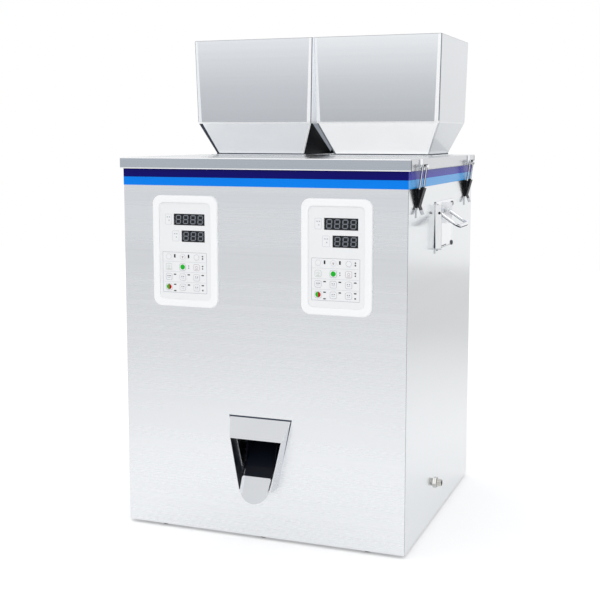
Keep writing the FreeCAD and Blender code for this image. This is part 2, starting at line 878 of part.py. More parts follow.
def feed_gate():
    y1 = gate_back()
    y0 = y1 - gate_thickness
    radius = gate_hole_radius
    low = gate_stud_height - gate_travel
    half = chute_width / 2 - gate_side_step
    plate = box(hopper_x - half, hopper_x + half, y0, y1, low - radius - gate_edge,
                gate_stud_height + radius + gate_edge)
    slot = fused([rod(V(hopper_x, y0 - sheet, low), V(0, 1, 0), radius, 4 * sheet),
                  rod(V(hopper_x, y0 - sheet, gate_stud_height), V(0, 1, 0), radius, 4 * sheet),
                  box(hopper_x - radius, hopper_x + radius, y0 - sheet, y0 + 3 * sheet,
                      low, gate_stud_height)])
    return plate.cut(slot)


def spring_y(start, z):
    """The front face of a leaf spring at a height, leaning back as it rises."""
    return start + (z - feeder_base_bottom) * math.tan(math.radians(spring_angle))


def leaning_block(start, low, high, near, far, width):
    """A block whose front and back faces lean with the leaf springs."""
    points = [(spring_y(start, low) + near, low), (spring_y(start, low) + far, low),
              (spring_y(start, high) + far, high), (spring_y(start, high) + near, high)]
    return prism_x(points, hopper_x - width / 2, hopper_x + width / 2)


def magnet_middle():
    """The middle of the magnet, halfway between the springs at its own height."""
    height = feeder_base_bottom + feeder_base_height + magnet_height / 2
    return spring_y(spring_front, height) + (spring_spacing + spring_thickness) / 2


def feeder_tray():
    half = tray_width / 2
    low = tray_low
    outer = box(hopper_x - half, hopper_x + half, tray_front, tray_back, low, tray_rim)
    inner = box(hopper_x - half + tray_wall, hopper_x + half - tray_wall, tray_front - tray_wall,
                tray_back - tray_wall, tray_floor, tray_rim + tray_wall)
    bar_low = low - bar_height
    rear_start = spring_front + spring_spacing
    bars = [leaning_block(spring_front, bar_low, low, spring_thickness,
                          spring_thickness + bar_depth, bar_width),
            leaning_block(rear_start, bar_low, low, -bar_depth, 0, bar_width)]
    middle = magnet_middle()
    armature_low = feeder_base_bottom + feeder_base_height + magnet_height + magnet_gap
    armature = box(hopper_x - armature_width / 2, hopper_x + armature_width / 2,
                   middle - armature_depth / 2, middle + armature_depth / 2, armature_low, low)
    return [outer.cut(inner)] + bars + [armature]


def leaf_springs():
    high = tray_low - fit_gap
    return [leaning_block(start, feeder_base_bottom + fit_gap, high, 0, spring_thickness,
                          spring_width)
            for start in (spring_front, spring_front + spring_spacing)]


def feeder_base():
    low = feeder_base_bottom
    points = [(spring_y(spring_front, low) + spring_thickness, low),
              (spring_y(spring_front + spring_spacing, low), low),
              (spring_y(spring_front + spring_spacing, low + feeder_base_height),
               low + feeder_base_height),
              (spring_y(spring_front, low + feeder_base_height) + spring_thickness,
               low + feeder_base_height)]
    return prism_x(points, hopper_x - feeder_base_width / 2, hopper_x + feeder_base_width / 2)


def feeder_magnet():
    """An E-shaped iron core with its coil round the middle leg."""
    low = feeder_base_bottom + feeder_base_height
    high = low + magnet_height
    middle = magnet_middle()
    leg = armature_width / 4
    half = armature_width / 2
    depth = armature_depth / 2
    core = box(hopper_x - half, hopper_x + half, middle - depth, middle + depth, low, high)
    for side in (-1, 1):
        centre = hopper_x + side * leg
        core = core.cut(box(centre - leg / 2, centre + leg / 2, middle - half, middle + half,
                            low + magnet_yoke, high + sheet))
    wind = leg / 2 - fit_gap
    coil_low = low + magnet_yoke + fit_gap
    coil_high = high - 2 * fit_gap
    outer = box(hopper_x - leg / 2 - wind, hopper_x + leg / 2 + wind, middle - depth - wind,
                middle + depth + wind, coil_low, coil_high)
    inner = box(hopper_x - leg / 2 - fit_gap, hopper_x + leg / 2 + fit_gap,
                middle - depth - fit_gap, middle + depth + fit_gap, low, high + sheet)
    return [core, outer.cut(inner)]


def rubber_mounts():
    """Four rubber bobbins under the right feeder base."""
    mounts = []
    inset = 2 * rubber_radius
    for x in (-1, 1):
        for y in (spring_front + inset, spring_front + spring_spacing - inset / 2):
            place = V(hopper_x + x * (feeder_base_width - inset) / 2, y, shelf_top)
            mounts.append(rod(place, V(0, 0, 1), rubber_radius, feeder_base_bottom - shelf_top))
    return mounts


def feeder_shelf():
    low = shelf_top - sheet
    rear = inner_back - sheet - fit_gap
    plate = box(-inner_x, inner_x, shelf_front, rear, low, shelf_top)
    flanges = [box(-inner_x, -inner_x + sheet, shelf_front, rear, low - shelf_flange, low),
               box(inner_x - sheet, inner_x, shelf_front, rear, low - shelf_flange, low),
               box(-inner_x, inner_x, shelf_front, shelf_front + sheet, low - shelf_flange, low)]
    return fused([plate] + flanges)


def door_hinge():
    """The y and z of the bucket door's hinge shaft."""
    return bucket_front - hinge_forward, bucket_front_edge + hinge_rise


def bucket_profile(inset):
    return [(bucket_front + inset, bucket_rim + inset), (bucket_back - inset, bucket_rim + inset),
            (bucket_back - inset, bucket_back_edge), (bucket_outlet_y, bucket_outlet_z),
            (bucket_front + inset, bucket_front_edge)]


def weigh_bucket():
    """The right weigh bucket: open at the top and on its sloping front below."""
    half = bucket_inner_width / 2 + bucket_wall
    outer = prism_x(bucket_profile(0), hopper_x - half, hopper_x + half)
    y, z = door_hinge()
    slope_y = bucket_back - bucket_outlet_y
    slope_z = bucket_back_edge - bucket_outlet_z
    shift = bucket_wall * math.hypot(slope_y, slope_z) / slope_y
    cavity = [(bucket_front + bucket_wall, bucket_rim + bucket_wall),
              (bucket_back - bucket_wall, bucket_rim + bucket_wall),
              (bucket_back - bucket_wall, bucket_back_edge + shift),
              (bucket_outlet_y, bucket_outlet_z + shift),
              (bucket_outlet_y - bucket_mouth_cut, bucket_outlet_z + shift),
              (bucket_front - bucket_mouth_cut, bucket_front_edge),
              (bucket_front + bucket_wall, bucket_front_edge)]
    inner = prism_x(cavity, hopper_x - half + bucket_wall, hopper_x + half - bucket_wall)
    ears = []
    for x in (hopper_x - half, hopper_x + half - bucket_wall):
        disc = rod(V(x, y, z), V(1, 0, 0), ear_radius, bucket_wall)
        web = box(x, x + bucket_wall, y, bucket_front + ear_radius, z, z + ear_radius)
        ears.append(disc.fuse(web))
    hole = rod(V(hopper_x - half - sheet, y, z), V(1, 0, 0), shaft_radius + pin_gap,
               2 * half + 2 * sheet)
    return fused([outer.cut(inner)] + ears).cut(hole)


def door_direction():
    """Unit vectors along the closed door, downwards, and out of its front face."""
    dy = bucket_outlet_y - bucket_front
    dz = bucket_outlet_z - bucket_front_edge
    length = math.hypot(dy, dz)
    return (dy / length, dz / length), (dz / length, -dy / length), length


def bucket_door():
    """The right door: a flap welded to its shaft, with the roller lever at the outer end."""
    (ay, az), (ny, nz), length = door_direction()
    y, z = door_hinge()
    half = bucket_inner_width / 2 + bucket_wall
    gap = fit_gap
    start_y = bucket_front + ny * gap
    start_z = bucket_front_edge + nz * gap

    def along(distance, out):
        return (start_y + ay * distance + ny * out, start_z + az * distance + nz * out)

    flap = prism_x([along(door_start, 0), along(length, 0), along(length, door_thickness),
                    along(door_start, door_thickness)], hopper_x - half, hopper_x + half)
    barrel_half = half - bucket_wall - fit_gap
    neck = prism_x([along(door_start, 0), along(door_start, door_thickness),
                    (y - shaft_radius, z), (y + shaft_radius, z)],
                   hopper_x - barrel_half, hopper_x + barrel_half)
    barrel = rod(V(hopper_x - barrel_half, y, z), V(1, 0, 0), barrel_radius, 2 * barrel_half)
    shaft_end = hopper_x + lever_offset + lever_half_width
    shaft_start = hopper_x - half - 2 * sheet
    shaft = rod(V(shaft_start, y, z), V(1, 0, 0), shaft_radius, shaft_end - shaft_start)
    lever_x = hopper_x + lever_offset - lever_half_width
    lever = box(lever_x, lever_x + 2 * lever_half_width, y - lever_half_thickness,
                y + lever_half_thickness, z - lever_length, z)
    hub = rod(V(lever_x, y, z), V(1, 0, 0), barrel_radius, 2 * lever_half_width)
    roller = rod(V(lever_x, y, z - lever_length), V(1, 0, 0), roller_radius,
                 2 * lever_half_width)
    return fused([flap, neck, barrel, shaft, lever, hub, roller])


def plunger_front():
    """The y of the pusher's face, just behind the roller at rest."""
    return door_hinge()[0] + roller_radius + pusher_gap


def door_plunger():
    x = hopper_x + lever_offset
    level = door_hinge()[1] - pusher_drop
    disc = rod(V(x, plunger_front(), level), V(0, 1, 0), pusher_radius, pusher_thickness)
    core = rod(V(x, plunger_front(), level), V(0, 1, 0), plunger_radius, plunger_length)
    return fused([disc, core])


def door_solenoid():
    """The right solenoid and the bracket that carries it on the side panel."""
    x = hopper_x + lever_offset
    level = door_hinge()[1] - pusher_drop
    start = plunger_front() + solenoid_setback
    half = solenoid_size / 2
    body = box(x - half, x + half, start, start + solenoid_length, level - half, level + half)
    bore = rod(V(x, start - sheet, level), V(0, 1, 0), plunger_radius + pin_gap,
               solenoid_length + sheet - bracket_thickness)
    plate = box(x + half, inner_x, start + half, start + solenoid_length,
                level - bracket_thickness / 2, level + bracket_thickness / 2)
    flange = box(inner_x - bracket_thickness, inner_x, start + half, start + solenoid_length,
                 level - half, level + half)
    return [body.cut(bore), fused([plate, flange])]


def load_cell():
    """The right load cell: a beam with its two round cut-outs, its post and its arm."""
    x0 = cell_inner_face
    x1 = cell_inner_face + cell_width
    z0 = cell_bottom
    z1 = cell_bottom + cell_height
    beam = box(x0, x1, cell_front, cell_back, z0, z1)
    middle = (cell_front + cell_back) / 2
    for side in (-1, 1):
        place = V(x0 - sheet, middle + side * cell_hole_offset, z0 + cell_height / 2)
        beam = beam.cut(rod(place, V(1, 0, 0), cell_hole_radius, cell_width + 2 * sheet))
    post = box(x0, x1, cell_back - cell_post_depth, cell_back, shelf_top, z0)
    bucket_face = hopper_x - bucket_inner_width / 2 - bucket_wall
    arm = box(x1, bucket_face, cell_front, cell_front + cell_arm_depth, z0, z1)
    return [beam, post, arm]


def panel_bezel(side):
    """The moulded panel: a rounded border round a lower field with two windows."""
    x = side * panel_x
    border = rounded_plate(x, panel_height, panel_width, panel_length, panel_corner,
                           front - panel_border_rise, front)
    face_edges = [edge for edge in border.Edges
                  if all(abs(v.Y - (front - panel_border_rise)) < 0.01 for v in edge.Vertexes)]
    border = border.makeFillet(border_round, face_edges)
    field = rounded_plate(x, panel_height, panel_width - 2 * panel_border,
                          panel_length - 2 * panel_border, panel_corner - panel_border / 2,
                          front - 2 * panel_border_rise, front - panel_field_rise)
    tools = [field]
    for width, offset, height in window_places():
        tools.append(box(x + offset - width / 2, x + offset + width / 2,
                         front - 2 * panel_border_rise, front + sheet,
                         panel_height + height - window_height / 2,
                         panel_height + height + window_height / 2))
    return cut_all(border, tools)


def keypad(side):
    """The membrane on the panel's field, with its raised keys."""
    x = side * panel_x
    surface = front - panel_field_rise
    edge = panel_border + membrane_clearance
    sheet_face = rounded_plate(x, panel_height, panel_width - 2 * edge, panel_length - 2 * edge,
                               panel_corner - panel_border / 2 - membrane_clearance,
                               surface - membrane, surface)
    for width, offset, height in window_places():
        sheet_face = sheet_face.cut(box(x + offset - width / 2, x + offset + width / 2,
                                        surface - 2 * membrane, surface + membrane,
                                        panel_height + height - window_height / 2,
                                        panel_height + height + window_height / 2))
    keys = []
    for column in range(key_columns):
        for row in range(key_rows):
            key_x = x + key_shift + (column - (key_columns - 1) / 2) * key_pitch_x
            key_z = panel_height + key_centre_z + (row - (key_rows - 1) / 2) * key_pitch_z
            keys.append(rounded_plate(key_x, key_z, key_size, key_size, key_corner,
                                      surface - membrane - key_rise, surface - membrane))
    return fused([sheet_face] + keys)


def displays(side):
    """The two display modules that stand in the windows, on their board."""
    x = side * panel_x
    face = front - panel_field_rise + display_recess
    modules = []
    for width, offset, height in window_places():
        half = width / 2 - window_clearance
        rise = window_height / 2 - window_clearance
        modules.append(box(x + offset - half, x + offset + half, face, front + display_depth,
                           panel_height + height - rise, panel_height + height + rise))
    return modules


def control_board(side):
    x = side * panel_x
    half = panel_width / 2 - board_margin
    rise = panel_length / 2 - board_margin
    y0 = front + display_depth
    board = box(x - half, x + half, y0, y0 + board_thickness,
                panel_height - rise, panel_height + rise)
    posts = []
    for sx in (-1, 1):
        for sz in (-1, 1):
            place = V(x + sx * (half - standoff_radius), inner_front,
                      panel_height + sz * (rise - standoff_radius))
            posts.append(rod(place, V(0, 1, 0), standoff_radius, y0 - inner_front))
    return [board] + posts


def handle_plate():
    """The right handle plate with the two ears that carry its bail."""
    x0 = half_width
    x1 = half_width + handle_plate_thickness
    ear_x = half_width + handle_ear_reach
    plate = box(x0, x1, handle_plate_front, handle_plate_back,
                handle_plate_bottom, handle_plate_top)
    near = box(x0, ear_x, handle_plate_front, handle_plate_front + handle_ear_thickness,
               handle_ear_bottom, handle_ear_top)
    far = box(x0, ear_x, handle_far_ear, handle_far_ear + handle_ear_thickness,
              handle_far_ear_bottom, handle_ear_top)
    ears = fused([plate, near, far])
    tools = [screw_hole(x0 - sheet, x1 + sheet, y, z) for y, z in screw_points()]
    return cut_all(ears, tools)


def handle_arm_places():
    """The y of the middle of each arm of the bail."""
    inset = handle_rod_radius + fit_gap
    return handle_plate_front + handle_ear_thickness + inset, handle_far_ear - inset


def handle_bail():
    """The right bail: a round rod bent twice, drooping as it is left."""
    near, far = handle_arm_places()
    reach = handle_arm
    bend = handle_corner
    x = half_width + handle_pivot_reach
    z = handle_pivot_height
    k = bend * (1 - math.sqrt(0.5))
    path = [Part.makeLine(V(x, near, z), V(x + reach - bend, near, z)),
            Part.Arc(V(x + reach - bend, near, z), V(x + reach - k, near + k, z),
                     V(x + reach, near + bend, z)).toShape(),
            Part.makeLine(V(x + reach, near + bend, z), V(x + reach, far - bend, z)),
            Part.Arc(V(x + reach, far - bend, z), V(x + reach - k, far - k, z),
                     V(x + reach - bend, far, z)).toShape(),
            Part.makeLine(V(x + reach - bend, far, z), V(x, far, z))]
    profile = Part.Wire(Part.makeCircle(handle_rod_radius, V(x, near, z), V(1, 0, 0)))
    bar = Part.Wire(path).makePipeShell([profile], True, True)
    ends = [rod(V(x, y - handle_eye_length / 2, z), V(0, 1, 0), handle_eye_radius,
                handle_eye_length) for y in (near, far)]
    pin_length = handle_rod_radius + fit_gap + handle_ear_thickness
    pins = [rod(V(x, near, z), V(0, -1, 0), handle_pin_radius, pin_length),
            rod(V(x, far, z), V(0, 1, 0), handle_pin_radius, pin_length)]
    whole = fused([bar] + ends + pins)
    whole.rotate(V(x, 0, z), V(0, 1, 0), handle_droop)
    return whole


def handle_pin_holes():
    x = half_width + handle_pivot_reach
    start = handle_plate_front - sheet
    return rod(V(x, start, handle_pivot_height), V(0, 1, 0), handle_pin_radius + pin_gap,
               handle_far_ear + handle_ear_thickness + sheet - start)


def handle_screws():
    screws = []
    seat = half_width + handle_plate_thickness
    for y, z in screw_points():
        head = rod(V(seat, y, z), V(1, 0, 0), screw_head_radius, screw_head_height)
        shank = rod(V(seat - screw_length, y, z), V(1, 0, 0), screw_shank_radius, screw_length)
        screws.append(fused([head, shank]))
    return screws


def latch_line(points, y0, y1):
    """A latch profile of (reach from the side, z), carried across the latch."""
    corners = [V(half_width + reach, y0, z) for reach, z in points]
    face = Part.Face(Part.makePolygon(corners + corners[:1]))
    return face.extrude(V(0, y1 - y0, 0))


def tangent_outline(centre_u, centre_z, radius, root_u, root_high, root_low):
    """The straight sides that run from two root points to touch a round end."""
    sides = []
    for root_z, turn in ((root_high, 1), (root_low, -1)):
        away = math.hypot(centre_u - root_u, centre_z - root_z)
        heading = math.atan2(centre_z - root_z, centre_u - root_u)
        swing = turn * math.asin(radius / away)
        run = math.sqrt(away ** 2 - radius ** 2)
        sides.append(((root_u, root_z), (root_u + run * math.cos(heading + swing),
                                         root_z + run * math.sin(heading + swing))))
    (high_root, high_touch), (low_root, low_touch) = sides
    return [low_root, low_touch, (centre_u, centre_z), high_touch, high_root]


def latch_base(y):
    """The base plate with its two ears and the pivot pin riveted through them."""
    half = latch_base_width / 2
    ear = latch_ear_gap / 2
    plate = box(half_width, half_width + latch_base_thickness, y - half, y + half,
                latch_base_bottom, latch_base_top)
    ears = []
    for y0 in (y - ear - latch_base_thickness, y + ear):
        root = latch_base_top - latch_ear_radius
        ears.append(latch_line(tangent_outline(latch_pivot_reach, latch_pivot_height,
                                               latch_ear_radius, 0, root, root - latch_ear_root),
                               y0, y0 + latch_base_thickness))
        ears.append(rod(V(half_width + latch_pivot_reach, y0, latch_pivot_height), V(0, 1, 0),
                        latch_ear_radius, latch_base_thickness))
    place = V(half_width + latch_pivot_reach, y - latch_lever_width / 2 - sheet,
              latch_pivot_height)
    length = latch_lever_width + 2 * sheet
    hole = rod(place, V(0, 1, 0), latch_pin_radius, length)
    pin = rod(place, V(0, 1, 0), latch_pin_radius, length)
    return [fused([plate] + ears).cut(hole), pin]


def latch_link():
    """Reach and height of the bail's pivot in the closed lever."""
    return latch_pivot_reach - latch_link_inset, latch_pivot_height - latch_link_drop


def latch_lever(y):
    half = latch_lever_width / 2
    wall = latch_base_thickness
    outer = [latch_lever_tip, latch_lever_waist, latch_lever_top]
    web = latch_line(band(outer, 0, wall), y - half, y + half)
    toe = latch_base_thickness + 2 * fit_gap
    waist_reach, waist_height = latch_lever_waist
    cheek = [(waist_reach - wall, waist_height), latch_lever_waist, latch_lever_top,
             (latch_pivot_reach, latch_pivot_height + latch_pin_radius),
             (latch_pivot_reach - latch_cheek_radius, latch_pivot_height),
             (toe, waist_height + wall)]
    link_reach, link_z = latch_link()
    parts = [web]
    for y0 in (y - half, y + half - wall):
        parts.append(latch_line(cheek, y0, y0 + wall))
        parts.append(rod(V(half_width + latch_pivot_reach, y0, latch_pivot_height), V(0, 1, 0),
                         latch_cheek_radius, wall))
    pivot = V(half_width + latch_pivot_reach, y - latch_bail_width, latch_pivot_height)
    link = V(half_width + link_reach, y - latch_bail_width, link_z)
    holes = [rod(pivot, V(0, 1, 0), latch_pin_radius + pin_gap, 2 * latch_bail_width),
             rod(link, V(0, 1, 0), latch_stub_radius + pin_gap, 2 * latch_bail_width)]
    return cut_all(fused(parts), holes)


def latch_bail(y):
    link_reach, link_z = latch_link()
    half = latch_bail_width / 2
    low = V(half_width + link_reach, 0, link_z)
    high = V(half_width + latch_hook_reach, 0, latch_hook_height)
    arm = high - low
    parts = []
    for side in (-1, 1):
        foot = V(low.x, y + side * half, low.z)
        parts.append(rod(foot, arm, latch_bail_radius, arm.Length))
        parts.append(Part.makeSphere(latch_bail_radius, foot))
        parts.append(Part.makeSphere(latch_bail_radius, V(high.x, foot.y, high.z)))
        stub = half - latch_ear_gap / 2 - latch_base_thickness - fit_gap
        parts.append(rod(foot, V(0, -side, 0), latch_stub_radius, stub))
    parts.append(rod(V(high.x, y - half, high.z), V(0, 1, 0), latch_bail_radius, 2 * half))
    return fused(parts)


def latch_keeper(y):
    """The hook on the lid's skirt that the bail pulls down on."""
    plate = latch_base_thickness
    skirt = lid_overhang
    floor = latch_hook_height - latch_bail_radius - fit_gap
    lip = latch_hook_reach + latch_bail_radius + keeper_lip_gap
    lip_top = latch_hook_height + keeper_lip_height
    profile = [(skirt, lid_top - lid_skirt + fit_gap), (skirt + plate, lid_top - lid_skirt + fit_gap),
               (skirt + plate, floor - plate), (lip + plate, floor - plate),
               (lip + plate, lip_top), (lip, lip_top), (lip, floor), (skirt + plate, floor),
               (skirt + plate, lid_top - fit_gap), (skirt, lid_top - fit_gap)]
    return latch_line(profile, y - keeper_width / 2, y + keeper_width / 2)


def pedal_socket():
    centre = V(half_width, socket_y, socket_z)
    nut_points = []
    for corner in range(6):
        angle = math.radians(60 * corner)
        nut_points.append((socket_y + socket_nut_radius * math.cos(angle),
                           socket_z + socket_nut_radius * math.sin(angle)))
    nut = prism_x(nut_points, half_width, half_width + socket_nut_height)
    barrel = rod(centre, V(1, 0, 0), socket_radius, socket_reach)
    thread = rod(centre, V(-1, 0, 0), socket_thread_radius, sheet + socket_inside)
    collar = rod(V(inner_x, socket_y, socket_z), V(-1, 0, 0), socket_nut_radius, 2 * sheet)
    bore = rod(V(half_width + socket_reach, socket_y, socket_z), V(-1, 0, 0), socket_bore,
               socket_bore_depth)
    return fused([nut, barrel, thread, collar]).cut(bore)


def power_inlet():
    """A three-pin appliance inlet with its screw flange, seen from the back."""
    flange_width = inlet_width + 2 * inlet_flange
    floor_y = back - inlet_depth + inlet_floor
    flange = rounded_plate(inlet_x, inlet_z, flange_width, inlet_height + 2 * inlet_rim,
                           inlet_corner, back, back + inlet_flange_thickness)
    body = rounded_plate(inlet_x, inlet_z, inlet_width, inlet_height, inlet_corner,
                         back - inlet_depth, back)
    recess = rounded_plate(inlet_x, inlet_z, inlet_width - 2 * inlet_side_wall,
                           inlet_height - 2 * inlet_end_wall, inlet_corner,
                           floor_y, back + 2 * inlet_flange_thickness)
    shell = fused([flange, body]).cut(recess)
    pins = []
    places = ((-inlet_pin_spread, -inlet_pin_drop), (0, inlet_pin_rise),
              (inlet_pin_spread, -inlet_pin_drop))
    for x, z in places:
        pins.append(box(inlet_x + x - inlet_pin_width / 2, inlet_x + x + inlet_pin_width / 2,
                        floor_y - inlet_pin_root, floor_y + inlet_pin_length,
                        inlet_z + z - inlet_pin_width, inlet_z + z + inlet_pin_width))
    return fused([shell] + pins)


def switch_frame():
    half_x = switch_opening_width / 2
    half_z = switch_opening_height / 2
    rim = switch_rim
    bezel = rounded_plate(switch_x, inlet_z, switch_opening_width + 2 * rim,
                          switch_opening_height + 2 * rim, rim / 2, back, back + sheet)
    body = box(switch_x - half_x - rim / 2, switch_x + half_x + rim / 2, back - switch_depth,
               back, inlet_z - half_z - rim / 2, inlet_z + half_z + rim / 2)
    hole = box(switch_x - half_x, switch_x + half_x, back - switch_depth + 2 * sheet,
               back + 2 * sheet, inlet_z - half_z, inlet_z + half_z)
    pin = rod(V(switch_x - half_x - sheet / 2, back - 2 * rim, inlet_z), V(1, 0, 0), sheet,
              switch_opening_width + sheet)
    return fused([fused([bezel, body]).cut(hole), pin])


def switch_rocker():
    half_z = rocker_height / 2
    depth = 2 * switch_rim
    tail = back - depth - rocker_tail
    profile = [(tail, inlet_z - rocker_tail_half_height), (back + rocker_rise, inlet_z - half_z),
               (back + rocker_dip, inlet_z), (back + rocker_rise, inlet_z + half_z),
               (tail, inlet_z + rocker_tail_half_height)]
    solid = prism_x(profile, switch_x - rocker_width / 2, switch_x + rocker_width / 2)
    hole = rod(V(switch_x - rocker_width, back - depth, inlet_z), V(1, 0, 0), sheet + pin_gap,
               2 * rocker_width)
    solid = solid.cut(hole)
    solid.rotate(V(switch_x, back - depth, inlet_z), V(1, 0, 0), rocker_tilt)
    return solid


def power_supply():
    """A closed metal box with a notch at its left end for the terminals."""
    x0 = -supply_width / 2
    y1 = back - supply_back_margin
    y0 = y1 - supply_depth
    case = box(x0, x0 + supply_width, y0, y1, sheet, sheet + supply_height)
    terminal = box(x0 - supply_wall, x0 + terminal_depth, y0 + terminal_inset,
                   y1 - terminal_inset, sheet + supply_wall, sheet + supply_height + supply_wall)
    return case.cut(terminal)


def main():
    os.makedirs("parts", exist_ok=True)
    save("front_panel", [front_panel()])
    save("side_panel_right", [side_panel(True)])
    save("side_panel_left", [mirrored(side_panel(False))])
    save("rear_panel", [rear_panel()])
    save("rear_panel_screws", rear_panel_screws())
    save("base_tray", [base_tray()])
    save("feet", feet())
    save("navy_stripe", [stripe(stripe_top)])
    save("blue_stripe", [stripe(stripe_top - stripe_height)])
    save("spout_hood", [spout_hood()])
    save("discharge_trough", [discharge_trough()])
    save("collecting_funnel", [collecting_funnel()])
    for name, side in (("left", -1), ("right", 1)):
        save("control_panel_" + name, [panel_bezel(side)])
    save("keypads", [keypad(-1), keypad(1)])
    save("displays", displays(-1) + displays(1))
    save("control_boards", control_board(-1) + control_board(1))
    plate = handle_plate().cut(handle_pin_holes())
    save("handle_plates", both_sides([plate]))
    save_pair("handle_bail", [handle_bail()])
    save("handle_screws", both_sides(handle_screws()))
    places = (("front", -latch_y), ("rear", latch_y))
    save("latch_bases", both_sides([solid for _, y in places for solid in latch_base(y)]))
    save("latch_keepers", both_sides([latch_keeper(y) for _, y in places]))
    for name, y in places:
        save_pair("latch_lever_" + name, [latch_lever(y)])
        save_pair("latch_bail_" + name, [latch_bail(y)])
    save("feeder_shelf", [feeder_shelf()])
    save("rubber_mounts", both_sides(rubber_mounts()))
    save("feeder_bases", both_sides([feeder_base()]))
    save("feeder_magnets", both_sides(feeder_magnet()))
    save("leaf_springs", both_sides(leaf_springs()))
    save_pair("feeder_tray", feeder_tray())
    save_pair("weigh_bucket", [weigh_bucket()])
    save_pair("bucket_door", [bucket_door()])
    save("load_cells", both_sides(load_cell()))
    save("door_solenoids", both_sides(door_solenoid()))
    save_pair("door_plunger", [door_plunger()])
    save("power_supply", [power_supply()])
    save("power_inlet", [power_inlet()])
    save("switch_frame", [switch_frame()])
    save("switch_rocker", [switch_rocker()])
    save("pedal_socket", [pedal_socket()])
    save("lid", [lid()])
    save("lid_seal", [lid_seal()])
    save_pair("hopper", [hopper()])
    save("outlet_necks", both_sides([outlet_neck(), gate_nut()]))
    save_pair("feed_gate", [feed_gate()])


main()
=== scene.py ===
import json
import math

import bmesh
import bpy
from mathutils import Matrix, Vector


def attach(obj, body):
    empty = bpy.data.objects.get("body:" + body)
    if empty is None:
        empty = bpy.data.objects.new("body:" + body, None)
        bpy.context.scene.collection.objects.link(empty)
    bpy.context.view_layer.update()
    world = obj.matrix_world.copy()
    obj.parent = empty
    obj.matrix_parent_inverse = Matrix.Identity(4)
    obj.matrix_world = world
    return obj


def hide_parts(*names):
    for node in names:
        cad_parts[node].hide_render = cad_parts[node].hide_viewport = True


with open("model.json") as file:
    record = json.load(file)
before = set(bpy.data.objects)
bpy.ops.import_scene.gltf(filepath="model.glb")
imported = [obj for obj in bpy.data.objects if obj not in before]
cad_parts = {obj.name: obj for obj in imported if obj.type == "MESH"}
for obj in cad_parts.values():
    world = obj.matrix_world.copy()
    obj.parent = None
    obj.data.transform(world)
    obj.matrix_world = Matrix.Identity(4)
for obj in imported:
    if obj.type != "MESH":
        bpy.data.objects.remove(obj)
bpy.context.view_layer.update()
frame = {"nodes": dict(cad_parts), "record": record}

mm = 0.001
caseToRow = Vector((0, 12.75, 4.0))     # the case's own zero lies under the middle of its floor
slotOf = {row["node"]: row["material_slot"] for row in frame["record"]["subparts"]}
print("frame loaded:", len(frame["nodes"]), "nodes")


def place(x, y, z):
    return (Vector((x, y, z)) + caseToRow) * mm


def levelOf(z):
    return place(0, 0, z).z


def depthOf(y):
    return place(0, y, 0).y


# Finishes: every tone is linear, every scale is per metre
steelSettings = {
    "brushed_front": dict(tone=(0.82, 0.833, 0.85), streaks=(0.3, 170, 400), roughness=0.27,
                          relief=0.03, contrast=0.022),
    # The side steel is toned darker than the front steel, as painted shade
    "brushed_side": dict(tone=(0.775, 0.795, 0.81), streaks=(300, 0.4, 170)),
    # The hopper steels are painted darker down towards the fold, as painted shade
    "hopper_steel": dict(tone=(0.90, 0.917, 0.938), streaks=(0.5, 0.5, 170), shadeFade=0.68),
    # The right hopper's steel is a lighter copy, as painted light
    "hopper_lit_copy": dict(tone=(0.96, 0.978, 0.995), streaks=(0.5, 0.5, 170), shadeFade=0.60),
    # The hoppers' sides above the fold take a darker copy, as painted shade
    "hopper_side_shaded_copy": dict(tone=(0.70, 0.715, 0.735), streaks=(0.5, 0.5, 170), shadeFade=0.9),
    # The lid's sides take a darker copy of the lid steel, as painted shade
    "lid_side_shaded_copy": dict(tone=(0.58, 0.59, 0.61), streaks=(200, 0.6, 170), roughness=0.2,
                     relief=0.03, contrast=0.03),
    # The lid's front and back faces take a darker tone, as painted shade
    "lid_steel": dict(tone=(0.72, 0.73, 0.745), streaks=(0.6, 200, 170), roughness=0.2,
                      relief=0.05, contrast=0.04, frontShadeTone=(0.53, 0.565, 0.605)),
    "inner_steel": dict(tone=(0.50, 0.51, 0.53), streaks=(8, 900, 900), roughness=0.34,
                        relief=0.06, contrast=0.05),
    "cell_aluminium": dict(tone=(0.78, 0.79, 0.80), streaks=(900, 8, 900), roughness=0.38,
                           relief=0.06, contrast=0.05),
}
streakSettings = {
    "fine": 0.55, "wide": 0.3, "cloud": 0.25,    # shares of the three noises
    "wideRatio": 12, "cloudScale": 4,
    "bump": 0.0004,
    "fadeSpan": (0.6045, 0.735),                 # from the hoppers' fold up to their rim
    "fadeEdge": 0.0015,
    "fadeTint": (0.1, 0.12, 0.15),
}
